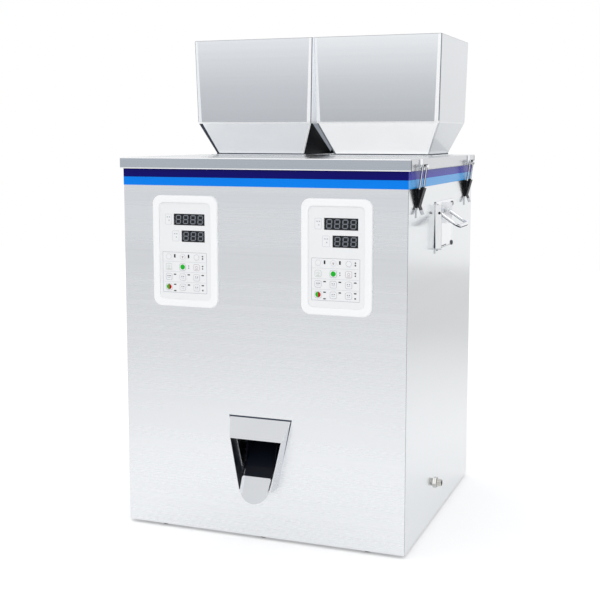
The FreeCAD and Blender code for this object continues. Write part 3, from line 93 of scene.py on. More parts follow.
plainSettings = {
    "polished_steel": dict(tone=(0.86, 0.87, 0.89), roughness=0.12, metallic=1.0),
    "screw_steel": dict(tone=(0.62, 0.63, 0.65), roughness=0.24, metallic=1.0, grain=1500),
    "socket_metal": dict(tone=(0.72, 0.71, 0.68), roughness=0.22, metallic=1.0, grain=1200),
    "spring_steel": dict(tone=(0.45, 0.46, 0.50), roughness=0.3, metallic=1.0),
    # Near black, painted on the latch bases and the bail wires as painted dark reflection
    "dark_steel": dict(tone=(0.010, 0.011, 0.014), roughness=0.38, specular=0.12),
    # Darker copies of polished steel for the hood and the trough's tongue, as painted shade
    "hood_steel": dict(tone=(0.74, 0.755, 0.78), roughness=0.14, metallic=1.0),
    "tongue_steel": dict(tone=(0.71, 0.725, 0.75), roughness=0.24, metallic=1.0),
    # A near white finish that glows a little, painted as highlights on edges, strips and fold lines
    "painted_highlight": dict(tone=(0.97, 0.975, 0.98), roughness=0.35, metallic=0.3, paintedGlow=0.1),
    # The left hopper's wall facing the gap glows as painted light above the fold, and its taper
    # glows dimmer behind the slanting shade line
    "gap_painted_light": dict(tone=(0.80, 0.82, 0.85), roughness=0.3, metallic=0.5, paintedGlow=0.45),
    "gap_painted_dim_light": dict(tone=(0.32, 0.35, 0.40), roughness=0.4, paintedGlow=0.6),
    # Glowing copies for the front tapers and some corner strips, as painted light
    "taper_left_painted_light": dict(tone=(0.93, 0.95, 0.975), roughness=0.2, metallic=0.4, paintedGlow=0.07),
    "taper_right_painted_light": dict(tone=(0.98, 0.985, 0.99), roughness=0.2, metallic=0.4, paintedGlow=0.19),
    # A darker copy for the side tapers, as painted shade
    "taper_side_shaded_copy": dict(tone=(0.61, 0.63, 0.655), roughness=0.17, metallic=1.0),
    # A darker copy of screw steel for the handle plate screws, as painted shade
    "screw_shaded_copy": dict(tone=(0.10, 0.105, 0.12), roughness=0.3, metallic=1.0, grain=1500),
    "iron": dict(tone=(0.28, 0.27, 0.27), roughness=0.5, metallic=0.8, grain=500, relief=0.2),
    "navy_film": dict(tone=(0.002, 0.001, 0.15), roughness=0.2, specular=0.12, grain=500),
    # The stripes' side faces take lighter copies of the films, as painted sheen
    "navy_side_painted_sheen": dict(tone=(0.0, 0.0, 0.40), roughness=0.2, specular=0.08, grain=500),
    "blue_film": dict(tone=(0.0, 0.235, 0.92), roughness=0.2, specular=0.12, grain=500),
    "blue_side_painted_sheen": dict(tone=(0.03, 0.37, 0.86), roughness=0.2, specular=0.15, grain=500),
    # The white plastic glows a little, as painted light
    "white_abs": dict(tone=(0.975, 0.98, 0.985), roughness=0.3, specular=0.4, grain=1200,
                      mottle=0.008, paintedGlow=0.04),
    "membrane": dict(tone=(0.93, 0.94, 0.95), roughness=0.4, specular=0.3, grain=2500,
                     relief=0.05, mottle=0.01),
    "display_grey": dict(tone=(0.006, 0.007, 0.010), roughness=0.16, specular=0.3),
    "circuit_board": dict(tone=(0.02, 0.16, 0.06), roughness=0.4, grain=800),
    "rubber_black": dict(tone=(0.03, 0.03, 0.032), roughness=0.75, specular=0.3, grain=700,
                         relief=0.3),
    "seal_rubber": dict(tone=(0.55, 0.55, 0.54), roughness=0.7, specular=0.3, grain=600,
                        relief=0.3),
    "black_plastic": dict(tone=(0.02, 0.02, 0.022), roughness=0.42, specular=0.4, relief=0.12),
}
printAndShadeTones = {
    "printBlack": (0.012, 0.012, 0.014),
    "printGrey": (0.30, 0.32, 0.35),
    "printPale": (0.54, 0.56, 0.60),
    "printSage": (0.48, 0.55, 0.46),
    "printRose": (0.50, 0.36, 0.40),
    "printGreen": (0.012, 0.50, 0.025),
    "printRed": (0.50, 0.006, 0.012),
    "digitGrey": (0.20, 0.22, 0.25),
    "printWhite": (0.85, 0.85, 0.85),
    # The last three are not print: painted shade, painted shaded edges and painted shade lines
    "shadedSteel": (0.004, 0.006, 0.012),
    "shadedEdge": (0.22, 0.235, 0.26),
    "paintedShadowLine": (0.05, 0.06, 0.085),
}


def newMaterial(name):
    material = bpy.data.materials.new(name)
    material.use_nodes = True
    return material, material.node_tree, material.node_tree.nodes["Principled BSDF"]


# A socket is linked to the named input, anything else becomes its value
def fill(tree, node, inputs):
    for key, value in inputs.items():
        if isinstance(value, bpy.types.NodeSocket):
            tree.links.new(value, node.inputs[key])
        else:
            node.inputs[key].default_value = value


def addNode(tree, kind, inputs=None, **settings):
    node = tree.nodes.new(kind)
    for key, value in settings.items():
        setattr(node, key, value)
    fill(tree, node, inputs or {})
    return node


def objectPoints(tree, scale=(1, 1, 1)):
    points = addNode(tree, "ShaderNodeTexCoord").outputs["Object"]
    return addNode(tree, "ShaderNodeMapping", {"Vector": points, "Scale": scale}).outputs["Vector"]


def noise(tree, vector, scale=1.0, detail=2.0, roughness=0.5):
    return addNode(tree, "ShaderNodeTexNoise", {"Vector": vector, "Scale": scale,
                   "Detail": detail, "Roughness": roughness}).outputs["Fac"]


def spread(tree, value, low, high, fromLow=0.3, fromHigh=0.7):
    return addNode(tree, "ShaderNodeMapRange", {
        "Value": value, "From Min": fromLow, "From Max": fromHigh,
        "To Min": low, "To Max": high}).outputs["Result"]


def maths(tree, operation, *values):
    return addNode(tree, "ShaderNodeMath", dict(enumerate(values)), operation=operation).outputs[0]


def separate(tree, vector):
    return addNode(tree, "ShaderNodeSeparateXYZ", {0: vector}).outputs


def mixColours(tree, factor, first, second):
    first, second = ((*colour, 1) if isinstance(colour, (tuple, list)) else colour
                     for colour in (first, second))
    return addNode(tree, "ShaderNodeMix", {"Factor": factor, "A": first, "B": second},
                   data_type="RGBA").outputs["Result"]


# The tone, darker and lighter by the given share
def swing(tree, factor, tone, share):
    return mixColours(tree, factor, [c * (1 - share) for c in tone],
                      [min(1, c * (1 + share)) for c in tone])


def bumped(tree, height, strength, distance):
    return addNode(tree, "ShaderNodeBump", {"Strength": strength, "Distance": distance,
                                            "Height": height}).outputs["Normal"]


# Steel with streaks along the axis whose scale is the smallest
def brushedSteel(name, tone, streaks, roughness=0.17, relief=0.02, contrast=0.02, frontShadeTone=None,
                 shadeFade=None):
    settings = streakSettings
    material, tree, shader = newMaterial(name)
    fine = noise(tree, objectPoints(tree, streaks), 1.0, 1.5, 0.6)
    wide = noise(tree, objectPoints(tree, [s / settings["wideRatio"] for s in streaks]))
    cloud = noise(tree, objectPoints(tree, [settings["cloudScale"]] * 3))
    grain = maths(tree, "MULTIPLY_ADD", fine, settings["fine"],
                  spread(tree, wide, 0, settings["wide"]))
    full = maths(tree, "MULTIPLY_ADD", cloud, settings["cloud"], grain)
    factor = spread(tree, full, 0, 1, 0.3, 0.8)
    colour = swing(tree, factor, tone, contrast)
    if frontShadeTone:                        # painted shade: the front and back faces take a darker tone with stronger streaks
        facing = separate(tree, addNode(tree, "ShaderNodeNewGeometry").outputs["Normal"])["Y"]
        colour = mixColours(tree, maths(tree, "MULTIPLY", facing, facing), colour,
                            swing(tree, factor, frontShadeTone, 2 * contrast))
    if shadeFade:                             # painted shade: the sheet is painted darker slowly down to the fold
        low, high = settings["fadeSpan"]
        height = separate(tree, objectPoints(tree))["Z"]
        paintedShading = maths(tree, "MULTIPLY", spread(tree, height, 1 - shadeFade, 0, low, high),
                       spread(tree, height, 0, 1, low - settings["fadeEdge"], low))
        colour = mixColours(tree, paintedShading, colour,
                            [c * tint for c, tint in zip(tone, settings["fadeTint"])])
    fill(tree, shader, {
        "Base Color": colour, "Metallic": 1.0,
        "Roughness": spread(tree, full, roughness * 0.85, roughness * 1.15, 0.3, 0.8),
        "Normal": bumped(tree, fine, relief, settings["bump"])})
    return material


# Plastic, rubber, print and plain metal; the mottle is 40 times as wide as the grain, and the glow
# adds painted light
def plainSurface(name, tone, roughness, metallic=0.0, specular=0.5, grain=900, relief=0.03,
                 mottle=0.04, paintedGlow=0.0):
    material, tree, shader = newMaterial(name)
    fine = noise(tree, objectPoints(tree), grain, 3.0, 0.6)
    fill(tree, shader, {
        "Base Color": swing(tree, noise(tree, objectPoints(tree), grain / 40), tone, mottle),
        "Roughness": spread(tree, fine, roughness * 0.85, min(1, roughness * 1.2)),
        "Normal": bumped(tree, fine, relief, 0.0003), "Metallic": metallic,
        "Specular IOR Level": specular, "Emission Color": (*tone, 1), "Emission Strength": paintedGlow})
    return material


finishes = {name: brushedSteel(name, **settings) for name, settings in steelSettings.items()}
finishes.update({name: plainSurface(name, **settings) for name, settings in plainSettings.items()})
finishes.update({name: plainSurface(name, tone, 0.45, specular=0.12, grain=2500, mottle=0.03)
                 for name, tone in printAndShadeTones.items()})
for nodeName, node in frame["nodes"].items():
    node.data.materials.clear()
    node.data.materials.append(finishes[slotOf[nodeName]])
print("finishes made:", len(finishes))


# Shapes
def newPiece(name, mesh):
    piece = bpy.data.objects.new(name, mesh)
    bpy.context.scene.collection.objects.link(piece)
    return piece


def finishPiece(piece, body, slot, replaced=(), finish=None):
    piece.data.materials.clear()
    piece.data.materials.append(finishes[finish or slot])
    if replaced:
        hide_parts(*replaced)
    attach(piece, body)
    return piece


# Edges sharper than the angle stay sharp, and at 0 every face stays flat
def meshFromBmesh(name, bm, smoothAngle=0):
    mesh = bpy.data.meshes.new(name)
    bmesh.ops.recalc_face_normals(bm, faces=bm.faces)
    for face in bm.faces:
        face.smooth = smoothAngle > 0
    for edge in bm.edges:
        if len(edge.link_faces) == 2 and edge.calc_face_angle(0) > math.radians(smoothAngle):
            edge.smooth = False
    bm.to_mesh(mesh)
    bm.free()
    return mesh


def pieceFromBmesh(name, bm, smoothAngle=0):
    return newPiece(name, meshFromBmesh(name, bm, smoothAngle))


def addPiece(name, bm, body, slot, replaced=(), finish=None, smoothAngle=0):
    return finishPiece(pieceFromBmesh(name, bm, smoothAngle), body, slot, replaced, finish)


# The mesh with its modifiers worked out; the piece that carried them goes
def bakedMesh(piece):
    evaluated = piece.evaluated_get(bpy.context.evaluated_depsgraph_get())
    mesh = bpy.data.meshes.new_from_object(evaluated)
    bpy.data.objects.remove(piece)
    return mesh


def roundEdges(piece, radius, segments=3):
    bevel = piece.modifiers.new("edges", "BEVEL")
    bevel.width = radius * mm
    bevel.segments = segments
    bevel.limit_method = "ANGLE"
    bevel.angle_limit = math.radians(30)
    bevel.use_clamp_overlap = False


# A frame node's shape with its doubled points merged
def mergedShape(nodeName):
    source = frame["nodes"][nodeName]
    bm = bmesh.new()
    bm.from_mesh(source.data)
    bmesh.ops.transform(bm, matrix=source.matrix_world, verts=bm.verts)
    bmesh.ops.remove_doubles(bm, verts=bm.verts, dist=2e-6)
    return bm


# The frame node again with its edges rounded
def softCopy(nodeName, radius, body, segments=3, smoothAngle=0, finish=None):
    piece = pieceFromBmesh(nodeName + "_soft", mergedShape(nodeName), smoothAngle)
    roundEdges(piece, radius, segments)
    return finishPiece(piece, body, slotOf[nodeName], [nodeName], finish)


# Points (a, b) of a rectangle with round corners; strip adds a point on the flats at either
# side of each corner
def ringSpots(centreA, centreB, halfA, halfB, corner, steps=6, strip=0):
    spots = []
    corner = max(corner, 0.01)
    for turn, (signA, signB) in enumerate(((1, 1), (-1, 1), (-1, -1), (1, -1))):
        stops = [(turn + step / steps, 0) for step in range(steps + 1)]
        if strip:
            stops = [(turn, -strip)] + stops + [(turn + 1, strip)]
        for quarter, shift in stops:
            angle = math.radians(90 * quarter)
            cosine, sine = math.cos(angle), math.sin(angle)
            spots.append((centreA + signA * (halfA - corner) + corner * cosine - shift * sine,
                          centreB + signB * (halfB - corner) + corner * sine + shift * cosine))
    return spots


def roundedRing(x, y, halfX, halfY, corner, z, strip):
    return [place(a, b, z) for a, b in ringSpots(x, y, halfX, halfY, corner, 6, strip)]


# The same ring standing on a front or back face, at depth y
def standingRing(x, z, halfX, halfZ, corner, y, steps=6):
    return [place(a, y, b) for a, b in ringSpots(x, z, halfX, halfZ, corner, steps)]


# The same about the origin, for a seed that a tree repeats
def seedRing(halfX, halfZ, corner, depth, steps=6):
    return [Vector((a, depth, b)) * mm for a, b in ringSpots(0, 0, halfX, halfZ, corner, steps)]


def loft(bm, rings, closed=False, capped=False):
    rows = [[bm.verts.new(point) for point in ring] for ring in rings]
    count = len(rows[0])
    pairs = list(zip(rows, rows[1:])) + ([(rows[-1], rows[0])] if closed else [])
    for low, high in pairs:
        for i in range(count):
            j = (i + 1) % count
            bm.faces.new((low[i], low[j], high[j], high[i]))
    if capped:
        bm.faces.new(rows[0])
        bm.faces.new(rows[-1])
    return rows


def circle(centre, across, up, radius, sides):
    return [centre + (across * math.cos(2 * math.pi * k / sides)
                      + up * math.sin(2 * math.pi * k / sides)) * max(radius, 1e-6)
            for k in range(sides)]


# A round bar through the given centres
def tube(bm, centres, radius, sides=20):
    rings = []
    across = None
    for i, centre in enumerate(centres):
        ahead = centres[min(i + 1, len(centres) - 1)] - centres[max(i - 1, 0)]
        ahead.normalize()
        if across is None:
            across = ahead.orthogonal().normalized()
        across = (across - ahead * across.dot(ahead)).normalized()
        rings.append(circle(centre, across, ahead.cross(across), radius, sides))
    loft(bm, rings, capped=True)


# A turned shape from start towards end: profile gives (distance along, radius) in mm
def turned(bm, start, end, profile, sides=28):
    axis = (end - start).normalized()
    across = axis.orthogonal().normalized()
    loft(bm, [circle(start + axis * along * mm, across, axis.cross(across), radius * mm, sides)
              for along, radius in profile], capped=True)


# A second finish on the faces that the test picks; in every test c is a face's centre and n
# its normal
def paintFaces(piece, finish, test):
    piece.data.materials.append(finishes[finish])
    index = len(piece.data.materials) - 1
    for face in piece.data.polygons:
        if test(face.center, face.normal):
            face.material_index = index


def cutAlong(bm, point, normal):
    bmesh.ops.bisect_plane(bm, geom=bm.verts[:] + bm.edges[:] + bm.faces[:],
                           plane_co=point, plane_no=normal)


# Cuts the faces of a piece along level planes, so that a finish can end there
def splitAt(piece, *heights):
    bm = bmesh.new()
    bm.from_mesh(piece.data)
    for height in heights:
        cutAlong(bm, place(0, 0, height), (0, 0, 1))
    bm.to_mesh(piece.data)
    bm.free()


# A closed bar between two opposite corners given in mm
def bar(bm, first, second):
    low, high = (place(*ends) for ends in zip(*(sorted(pair) for pair in zip(first, second))))
    bmesh.ops.create_cube(bm, size=1.0, matrix=Matrix.Translation((low + high) / 2)
                          @ Matrix.Diagonal((*(high - low), 1)))


# The seed on every point of a grid, made real and painted
def buildGridTree():
    tree = bpy.data.node_groups.new("grid", "GeometryNodeTree")
    for label, kind in (("Geometry", "Geometry"), ("Width", "Float"), ("Height", "Float"),
                        ("Columns", "Int"), ("Rows", "Int"), ("Turn", "Vector"),
                        ("Centre", "Vector"), ("Finish", "Material")):
        tree.interface.new_socket(label, in_out="INPUT", socket_type="NodeSocket" + kind)
    tree.interface.new_socket("Geometry", in_out="OUTPUT", socket_type="NodeSocketGeometry")
    given = addNode(tree, "NodeGroupInput").outputs
    grid = addNode(tree, "GeometryNodeMeshGrid", {
        "Size X": given["Width"], "Size Y": given["Height"],
        "Vertices X": given["Columns"], "Vertices Y": given["Rows"]}).outputs["Mesh"]
    points = addNode(tree, "GeometryNodeTransform", {
        "Geometry": grid, "Rotation": given["Turn"],
        "Translation": given["Centre"]}).outputs["Geometry"]
    copies = addNode(tree, "GeometryNodeInstanceOnPoints", {
        "Points": points, "Instance": given["Geometry"]}).outputs["Instances"]
    real = addNode(tree, "GeometryNodeRealizeInstances", {"Geometry": copies}).outputs["Geometry"]
    paint = addNode(tree, "GeometryNodeSetMaterial", {
        "Geometry": real, "Material": given["Finish"]}).outputs["Geometry"]
    addNode(tree, "NodeGroupOutput", {"Geometry": paint})
    return tree


gridTree = buildGridTree()


# Repeats a seed on the grid and keeps the result as a plain piece; size in mm, turn in degrees
def onGrid(name, seed, size, counts, centre, turn, finish):
    holder = newPiece(name + "Seed", seed)
    modifier = holder.modifiers.new("grow", "NODES")
    modifier.node_group = gridTree
    values = {"Width": size[0] * mm, "Height": size[1] * mm, "Columns": counts[0],
              "Rows": counts[1], "Centre": centre, "Finish": finishes[finish],
              "Turn": [math.radians(angle) for angle in turn]}
    for item in gridTree.interface.items_tree:
        if item.item_type == "SOCKET" and item.in_out == "INPUT" and item.name in values:
            modifier[item.identifier] = values[item.name]
    return newPiece(name, bakedMesh(holder))


# Hoppers: one folded sheet each, with bent corners, a hem and a foot flange
hopperSettings = {
    "x": 103.0, "y": 111.5,
    "top": (731.0, 102.5, 95.5),         # height and half sizes of the rim
    "fold": (600.0, 99.3, 92.3),
    "foot": (547.0, 76.5, 65.5),
    "sheet": 1.2,
    "corner": 3.4,                       # outside radius of the bent corners
    "strip": 3.2,                        # strip beside them, painted as a highlight
    "stripAt": (0.5, 1.3, 0.7),          # its share at the foot, the fold and the rim
    "foldRadius": 2.2, "foldSteps": 4,
    "hem": 10.0,
    "flange": 8.0,
    "soft": 0.3, "rimSoft": 0.6,         # rounding of the flange and of the rim
    "shade": ((21.0, 600.0), (188.0, 547.0)),   # (y, z) where the painted shade of the gap begins and ends
    "bead": 2.4,                         # bead round the foot, coloured as a painted shade line
    "stripEdge": 3.5, "gapTo": 12.0, "taperShadowInset": 5.5, "foldLine": (2.3, 0.4),
}


def hopperRings(settings, side, inset, corner):
    x, y = side * settings["x"], settings["y"]
    footZ, footX, footY = settings["foot"]
    foldZ, foldX, foldY = settings["fold"]
    topZ, topX, topY = settings["top"]
    atFoot, atFold, atRim = (settings["strip"] * share for share in settings["stripAt"])
    reach, steps = settings["foldRadius"], settings["foldSteps"]
    slopeX, slopeY = (foldX - footX) / (foldZ - footZ), (foldY - footY) / (foldZ - footZ)
    leanX, leanY = (topX - foldX) / (topZ - foldZ), (topY - foldY) / (topZ - foldZ)
    rings = [roundedRing(x, y, footX - inset, footY - inset, corner, footZ, atFoot)]
    for step in range(steps + 1):
        low, high = reach * (1 - step / steps) ** 2, reach * (step / steps) ** 2
        rings.append(roundedRing(x, y, foldX - inset - low * slopeX + high * leanX,
                                 foldY - inset - low * slopeY + high * leanY, corner,
                                 foldZ - low + high, atFold))
    rings.append(roundedRing(x, y, topX - inset, topY - inset, corner, topZ, atRim))
    return rings


def hopperPaint(settings, side):
    foldZ, foldX, foldY = settings["fold"]
    footZ, footX, footY = settings["foot"]
    low, high = levelOf(footZ + 2), levelOf(foldZ - 2)
    middle, halfX = depthOf(settings["y"]), settings["x"] * mm
    edge = (foldY - settings["corner"] - settings["strip"] - settings["stripEdge"]) * mm
    lineLow, lineHigh = (levelOf(foldZ - drop) for drop in settings["foldLine"])
    rim = levelOf(settings["top"][0] - settings["rimSoft"])
    slope = (foldX - footX) / (foldZ - footZ)
    outer, gap = -halfX - (footX - settings["taperShadowInset"]) * mm, -settings["gapTo"] * mm
    start, slant = shadeLine(settings)

    def onTaper(c):
        return low < c.z < high

    def inGap(c):                        # the two tapers that face each other are painted as shade
        return onTaper(c) and (c.x - side * (halfX - footX * mm)) * side < 0

    def onStrip(c, isOuter):
        return (c.z > low and (abs(c.x) > halfX) == isOuter and abs(c.y - middle) > edge
                and abs(abs(c.x) - halfX) > edge)

    isLeft = side < 0
    # Painted light and shade: lit, shaded and glowing copies, highlight strips and fold lines,
    # shaded rims, a painted shadow line down the left taper, and the gap between the hoppers
    # painted dark
    return [
        ("hopper_side_shaded_copy", lambda c, n: c.z > high and n.x * side > 0.9),
        ("taper_side_shaded_copy", lambda c, n: onTaper(c) and n.x * side > 0.5),
        ("taper_left_painted_light" if isLeft else "taper_right_painted_light", lambda c, n: onTaper(c) and n.y < -0.7),
        ("gap_painted_light", lambda c, n: isLeft and c.z > high and n.x > 0.85 and c.x > gap),
        ("shadedEdge", lambda c, n: isLeft and c.z > high and 0.35 < n.x < 0.85 and c.x > gap),
        ("taper_left_painted_light", lambda c, n: onStrip(c, isLeft) and abs(n.y) > (0.85 if isLeft else 0.3)),
        ("painted_highlight", lambda c, n: onStrip(c, not isLeft) and abs(n.y) > 0.85),
        ("painted_highlight", lambda c, n: n.y < -0.7 and lineLow < c.z < lineHigh),
        ("shadedEdge", lambda c, n: c.z > rim and n.z < 0.95),
        ("paintedShadowLine", lambda c, n: isLeft and onTaper(c) and n.y < -0.05
         and c.x < outer - slope * (c.z - low)),
        ("painted_highlight" if isLeft else "shadedEdge",
         lambda c, n: inGap(c) and n.y < -0.1 and -0.75 <= n.x * side < -0.1),
        ("shadedSteel", lambda c, n: inGap(c) and n.x * side < -0.75),
        ("gap_painted_dim_light", lambda c, n: isLeft and inGap(c) and n.x > 0.75
         and slant.dot(c - start) > 0),
    ]


# A point on the slanting line where the dark of the gap begins, and the normal of its plane
def shadeLine(settings):
    (startY, startZ), (endY, endZ) = settings["shade"]
    return place(0, startY, startZ), Vector((0, startZ - endZ, endY - startY))


def makeHopper(settings, side, nodeName):
    sheet, corner, hem, flange, soft, rimSoft, bead = (
        settings[key] for key in ("sheet", "corner", "hem", "flange", "soft", "rimSoft", "bead"))
    topZ, topX, topY = settings["top"]
    foldZ, foldX, foldY = settings["fold"]
    footZ, footX, footY = settings["foot"]
    lean = (topX - foldX) / (topZ - foldZ) * hem
    atFoot, atFold, atRim = (settings["strip"] * share for share in settings["stripAt"])

    def ring(fromX, fromY, inset, radius, z):
        return roundedRing(side * settings["x"], settings["y"], fromX - inset, fromY - inset,
                           radius, z, atRim if z > foldZ else atFoot)

    outside = hopperRings(settings, side, 0, corner)
    inside = hopperRings(settings, side, sheet, corner - sheet)
    foot = [ring(footX, footY, inset, radius, footZ + rise) for inset, radius, rise in (
        (sheet, corner - sheet, -0.01), (soft - flange, corner, -0.01),
        (-flange, corner, soft), (-flange, corner, sheet - soft),
        (soft - flange, corner, sheet), (-rimSoft, corner + rimSoft, sheet))]
    hemmed, hemCorner = 2 * sheet, corner - 2 * sheet
    rim = [ring(topX, topY, inset, radius, topZ - drop) for inset, radius, drop in (
        (0, corner, rimSoft), (rimSoft, corner - rimSoft, 0),
        (hemmed - rimSoft, hemCorner + rimSoft, 0), (hemmed, hemCorner, rimSoft),
        (hemmed + lean, hemCorner, hem - 0.4), (hemmed + lean - 0.5, hemCorner, hem),
        (sheet + lean + 0.1, corner - sheet, hem))]
    bm = bmesh.new()
    loft(bm, foot + outside[1:-1] + rim + list(reversed(inside[1:-1])), closed=True)
    if side < 0:
        cutAlong(bm, *shadeLine(settings))
    piece = finishPiece(pieceFromBmesh(nodeName + "_folded", bm, 40), "lid", "hopper_steel",
                        [nodeName], "hopper_lit_copy" if side > 0 else "hopper_steel")
    for finish, test in hopperPaint(settings, side):
        paintFaces(piece, finish, test)
    # The bead takes the painted shade line's colour
    seal = bmesh.new()
    loft(seal, [ring(footX, footY, 0.2 - grow, corner + grow, footZ + sheet + rise)
                for grow, rise in ((0, 0), (bead, 0), (bead * 0.8, bead * 0.6),
                                   (bead * 0.3, bead))], closed=True)
    addPiece(nodeName + "_bead", seal, "lid", "seal_rubber",
                finish="paintedShadowLine")


# A low web, coloured as painted shade, closes the gap between the two feet at the back
webSettings = {"foot": 25.8, "top": 21.0, "rise": (1.3, 13.0), "depths": (2.5, 1.0)}


def makeWeb(settings, hopper):
    back, base = hopper["y"] + hopper["foot"][2], hopper["foot"][0]
    foot, top, (low, high) = settings["foot"], settings["top"], settings["rise"]
    bm = bmesh.new()
    loft(bm, [[place(x, back - depth, base + z)
               for x, z in ((-foot, low), (foot, low), (top, high), (-top, high))]
              for depth in settings["depths"]], capped=True)
    addPiece("hopper_shade_web", bm, "lid", "rubber_black", finish="shadedSteel")


makeHopper(hopperSettings, -1, "hopper_left")
makeHopper(hopperSettings, 1, "hopper_right")
makeWeb(webSettings, hopperSettings)
print("hoppers folded")

# Sheet pieces of the case keep their frame shapes and get rounded edges
sheetEdges = {
    "front_panel": (0.55, "case"), "latch_keepers": (0.4, "lid"),
    "power_inlet": (0.3, "case"), "switch_frame": (0.3, "case"),
    "switch_rocker": (0.3, "switch_rocker"),
}
for nodeName, (radius, body) in sheetEdges.items():
    softCopy(nodeName, radius, body)
# The stripes' side faces get painted sheen
for nodeName, sideFinish in (("navy_stripe", "navy_side_painted_sheen"), ("blue_stripe", "blue_side_painted_sheen")):
    paintFaces(softCopy(nodeName, 0.05, "case", 2), sideFinish,
               lambda c, n: abs(n.x) > 0.7)
# The front panel's side edges are painted dark as a shade line
paintFaces(bpy.data.objects["front_panel_soft"], "shadedEdge",
           lambda c, n: abs(n.x) > 0.9 and abs(c.x) > 213 * mm)

# Latches: dark levers on a base painted near black as painted dark reflection, whose lower end is
# bright in the side panel's finish; the bail wires get painted dark reflections
latchSettings = {"darkFrom": 480.0, "wireFrom": 506.0, "tailTo": 477.0, "edge": 0.3}


def makeLatches(settings):
    bases = softCopy("latch_bases", settings["edge"], "case", finish="dark_steel")
    splitAt(bases, settings["darkFrom"])
    low, wire, tailTop = (levelOf(settings[key])
                          for key in ("darkFrom", "wireFrom", "tailTo"))
    paintFaces(bases, "brushed_side", lambda c, n: c.z < low)
    for end in ("front", "rear"):
        for hand in ("left", "right"):
            lever, bail = f"latch_lever_{end}_{hand}", f"latch_bail_{end}_{hand}"
            tail = softCopy(lever, settings["edge"], lever, 2)
            splitAt(tail, settings["tailTo"])
            paintFaces(tail, "spring_steel", lambda c, n: c.z < tailTop)
            piece = softCopy(bail, settings["edge"], bail, 2, smoothAngle=30)
            splitAt(piece, settings["wireFrom"])
            side = 1 if hand == "right" else -1

            def shadedWire(c, n):     # painted dark reflection on both flanks of the wire's front, and painted dark below wireFrom
                turn = math.degrees(math.atan2(n.x * side, -n.y))
                return c.z < wire or 50 < turn < 105 or -80 < turn < -18

            paintFaces(piece, "dark_steel", shadedWire)


# Handle plates: painted highlights on the ears, a painted shadow on the front edge and a painted
# shadow line near the foot; below the foot the plate takes the side panel's finish
plateSettings = {"front": -52.0, "outer": 216.5, "foot": 414.0, "shade": 462.0}


def makePlates(settings):
    piece = softCopy("handle_plates", 0.3, "case")
    splitAt(piece, settings["foot"], settings["shade"])
    front, outer = depthOf(settings["front"] + 2.2), settings["outer"] * mm
    foot, shade = levelOf(settings["foot"]), levelOf(settings["shade"])
    paintFaces(piece, "painted_highlight", lambda c, n: c.z > foot and n.y < -0.8
               and abs(c.x) > outer)
    paintFaces(piece, "paintedShadowLine", lambda c, n: c.z > foot and c.y < front
               and (n.y < -0.8 and abs(c.x) < outer
                    or c.z > shade and abs(n.x) > 0.8 and abs(c.x) > outer + 0.007))
    paintFaces(piece, "brushed_side", lambda c, n: c.z < foot)
    bm = bmesh.new()
    for side in (-1, 1):
        edge, foot = side * settings["outer"], settings["foot"]
        bar(bm, (edge, -29, foot - 0.6), (edge + side * 0.25, 16, foot + 0.6))
    addPiece("plate_shadow_lines", bm, "case", "brushed_side", finish="paintedShadowLine")


makeLatches(latchSettings)
makePlates(plateSettings)
print("sheet edges rounded")

# Spout hood: bright outside with painted highlights on its lower edges, painted shade inside, and a
# dark strip of painted shade where it meets the panel
hoodSettings = {
    "front": -203.0, "edge": 0.2, "shadeTo": 92.0, "glintTo": 101.0,
    "top": (176.0, 47.3), "tip": (75.0, 24.5),   # height and half width
    "shadeStripWidth": 2.2, "shadeStripRise": 0.7,
}


def makeHood(settings):
    piece = softCopy("spout_hood", settings["edge"], "case", finish="hood_steel")

    def inner(c, n):
        return n.x * math.copysign(1, c.x) < -0.3 or (n.z < -0.3 and n.y > 0.1)

    outer = depthOf(settings["front"] - 1.0)
    paintFaces(piece, "painted_highlight", lambda c, n: c.y < outer
               and n.z < -0.1 and n.y < 0.3 and abs(n.x) < 0.5)
    paintFaces(piece, "shadedSteel", inner)
    front, width, rise = settings["front"], settings["shadeStripWidth"], settings["shadeStripRise"]
    topZ, topX = settings["top"]
    tipZ, tipX = settings["tip"]
    slope = (topX - tipX) / (topZ - tipZ)
    foot = topX - slope * (topZ - tipZ - 20)
    line = [(-foot, tipZ + 20), (-topX, topZ), (topX, topZ), (foot, tipZ + 20)]
    rings = []
    for x, z in line:
        out = math.copysign(width, x)
        lift = width if z == topZ else 0
        rings.append([place(x - out * 0.4, front, z - lift * 0.4),
                      place(x - out * 0.4, front - rise, z - lift * 0.4),
                      place(x + out * 0.3, front - rise, z + lift * 0.3),
                      place(x + out * 0.6, front, z + lift * 0.6)])
    bm = bmesh.new()
    loft(bm, rings, capped=True)
    addPiece("hood_shade_strip", bm, "case", "rubber_black", finish="paintedShadowLine")


# Inside the case the trough and the edge of the opening are painted dark as shade, and the tongue's
# top edge gets a painted highlight
def makeTrough(settings):
    piece = softCopy("discharge_trough", 0.3, "case", finish="tongue_steel")
    splitAt(piece, settings["shadeTo"], settings["glintTo"])
    mouth = depthOf(settings["front"] - 0.6)
    floorTop, glintTop = levelOf(settings["shadeTo"]), levelOf(settings["glintTo"])
    paintFaces(piece, "shadedSteel", lambda c, n: c.y > mouth
               or c.z > glintTop or (c.z > floorTop and n.x < 0.7))
    paintFaces(piece, "painted_highlight", lambda c, n: c.z < floorTop
               and c.y < mouth and abs(n.x) < 0.8 and n.z < 0.2)
    low, high = place(0, 0, 100.0), place(0, 0, 175.0)
    panel = bpy.data.objects["front_panel_soft"]
    half = settings["top"][1] * mm
    paintFaces(panel, "shadedSteel", lambda c, n: abs(c.x) < half
               and low.z < c.z < high.z and abs(n.y) < 0.5)


makeHood(hoodSettings)
makeTrough(hoodSettings)
print("spout dressed")

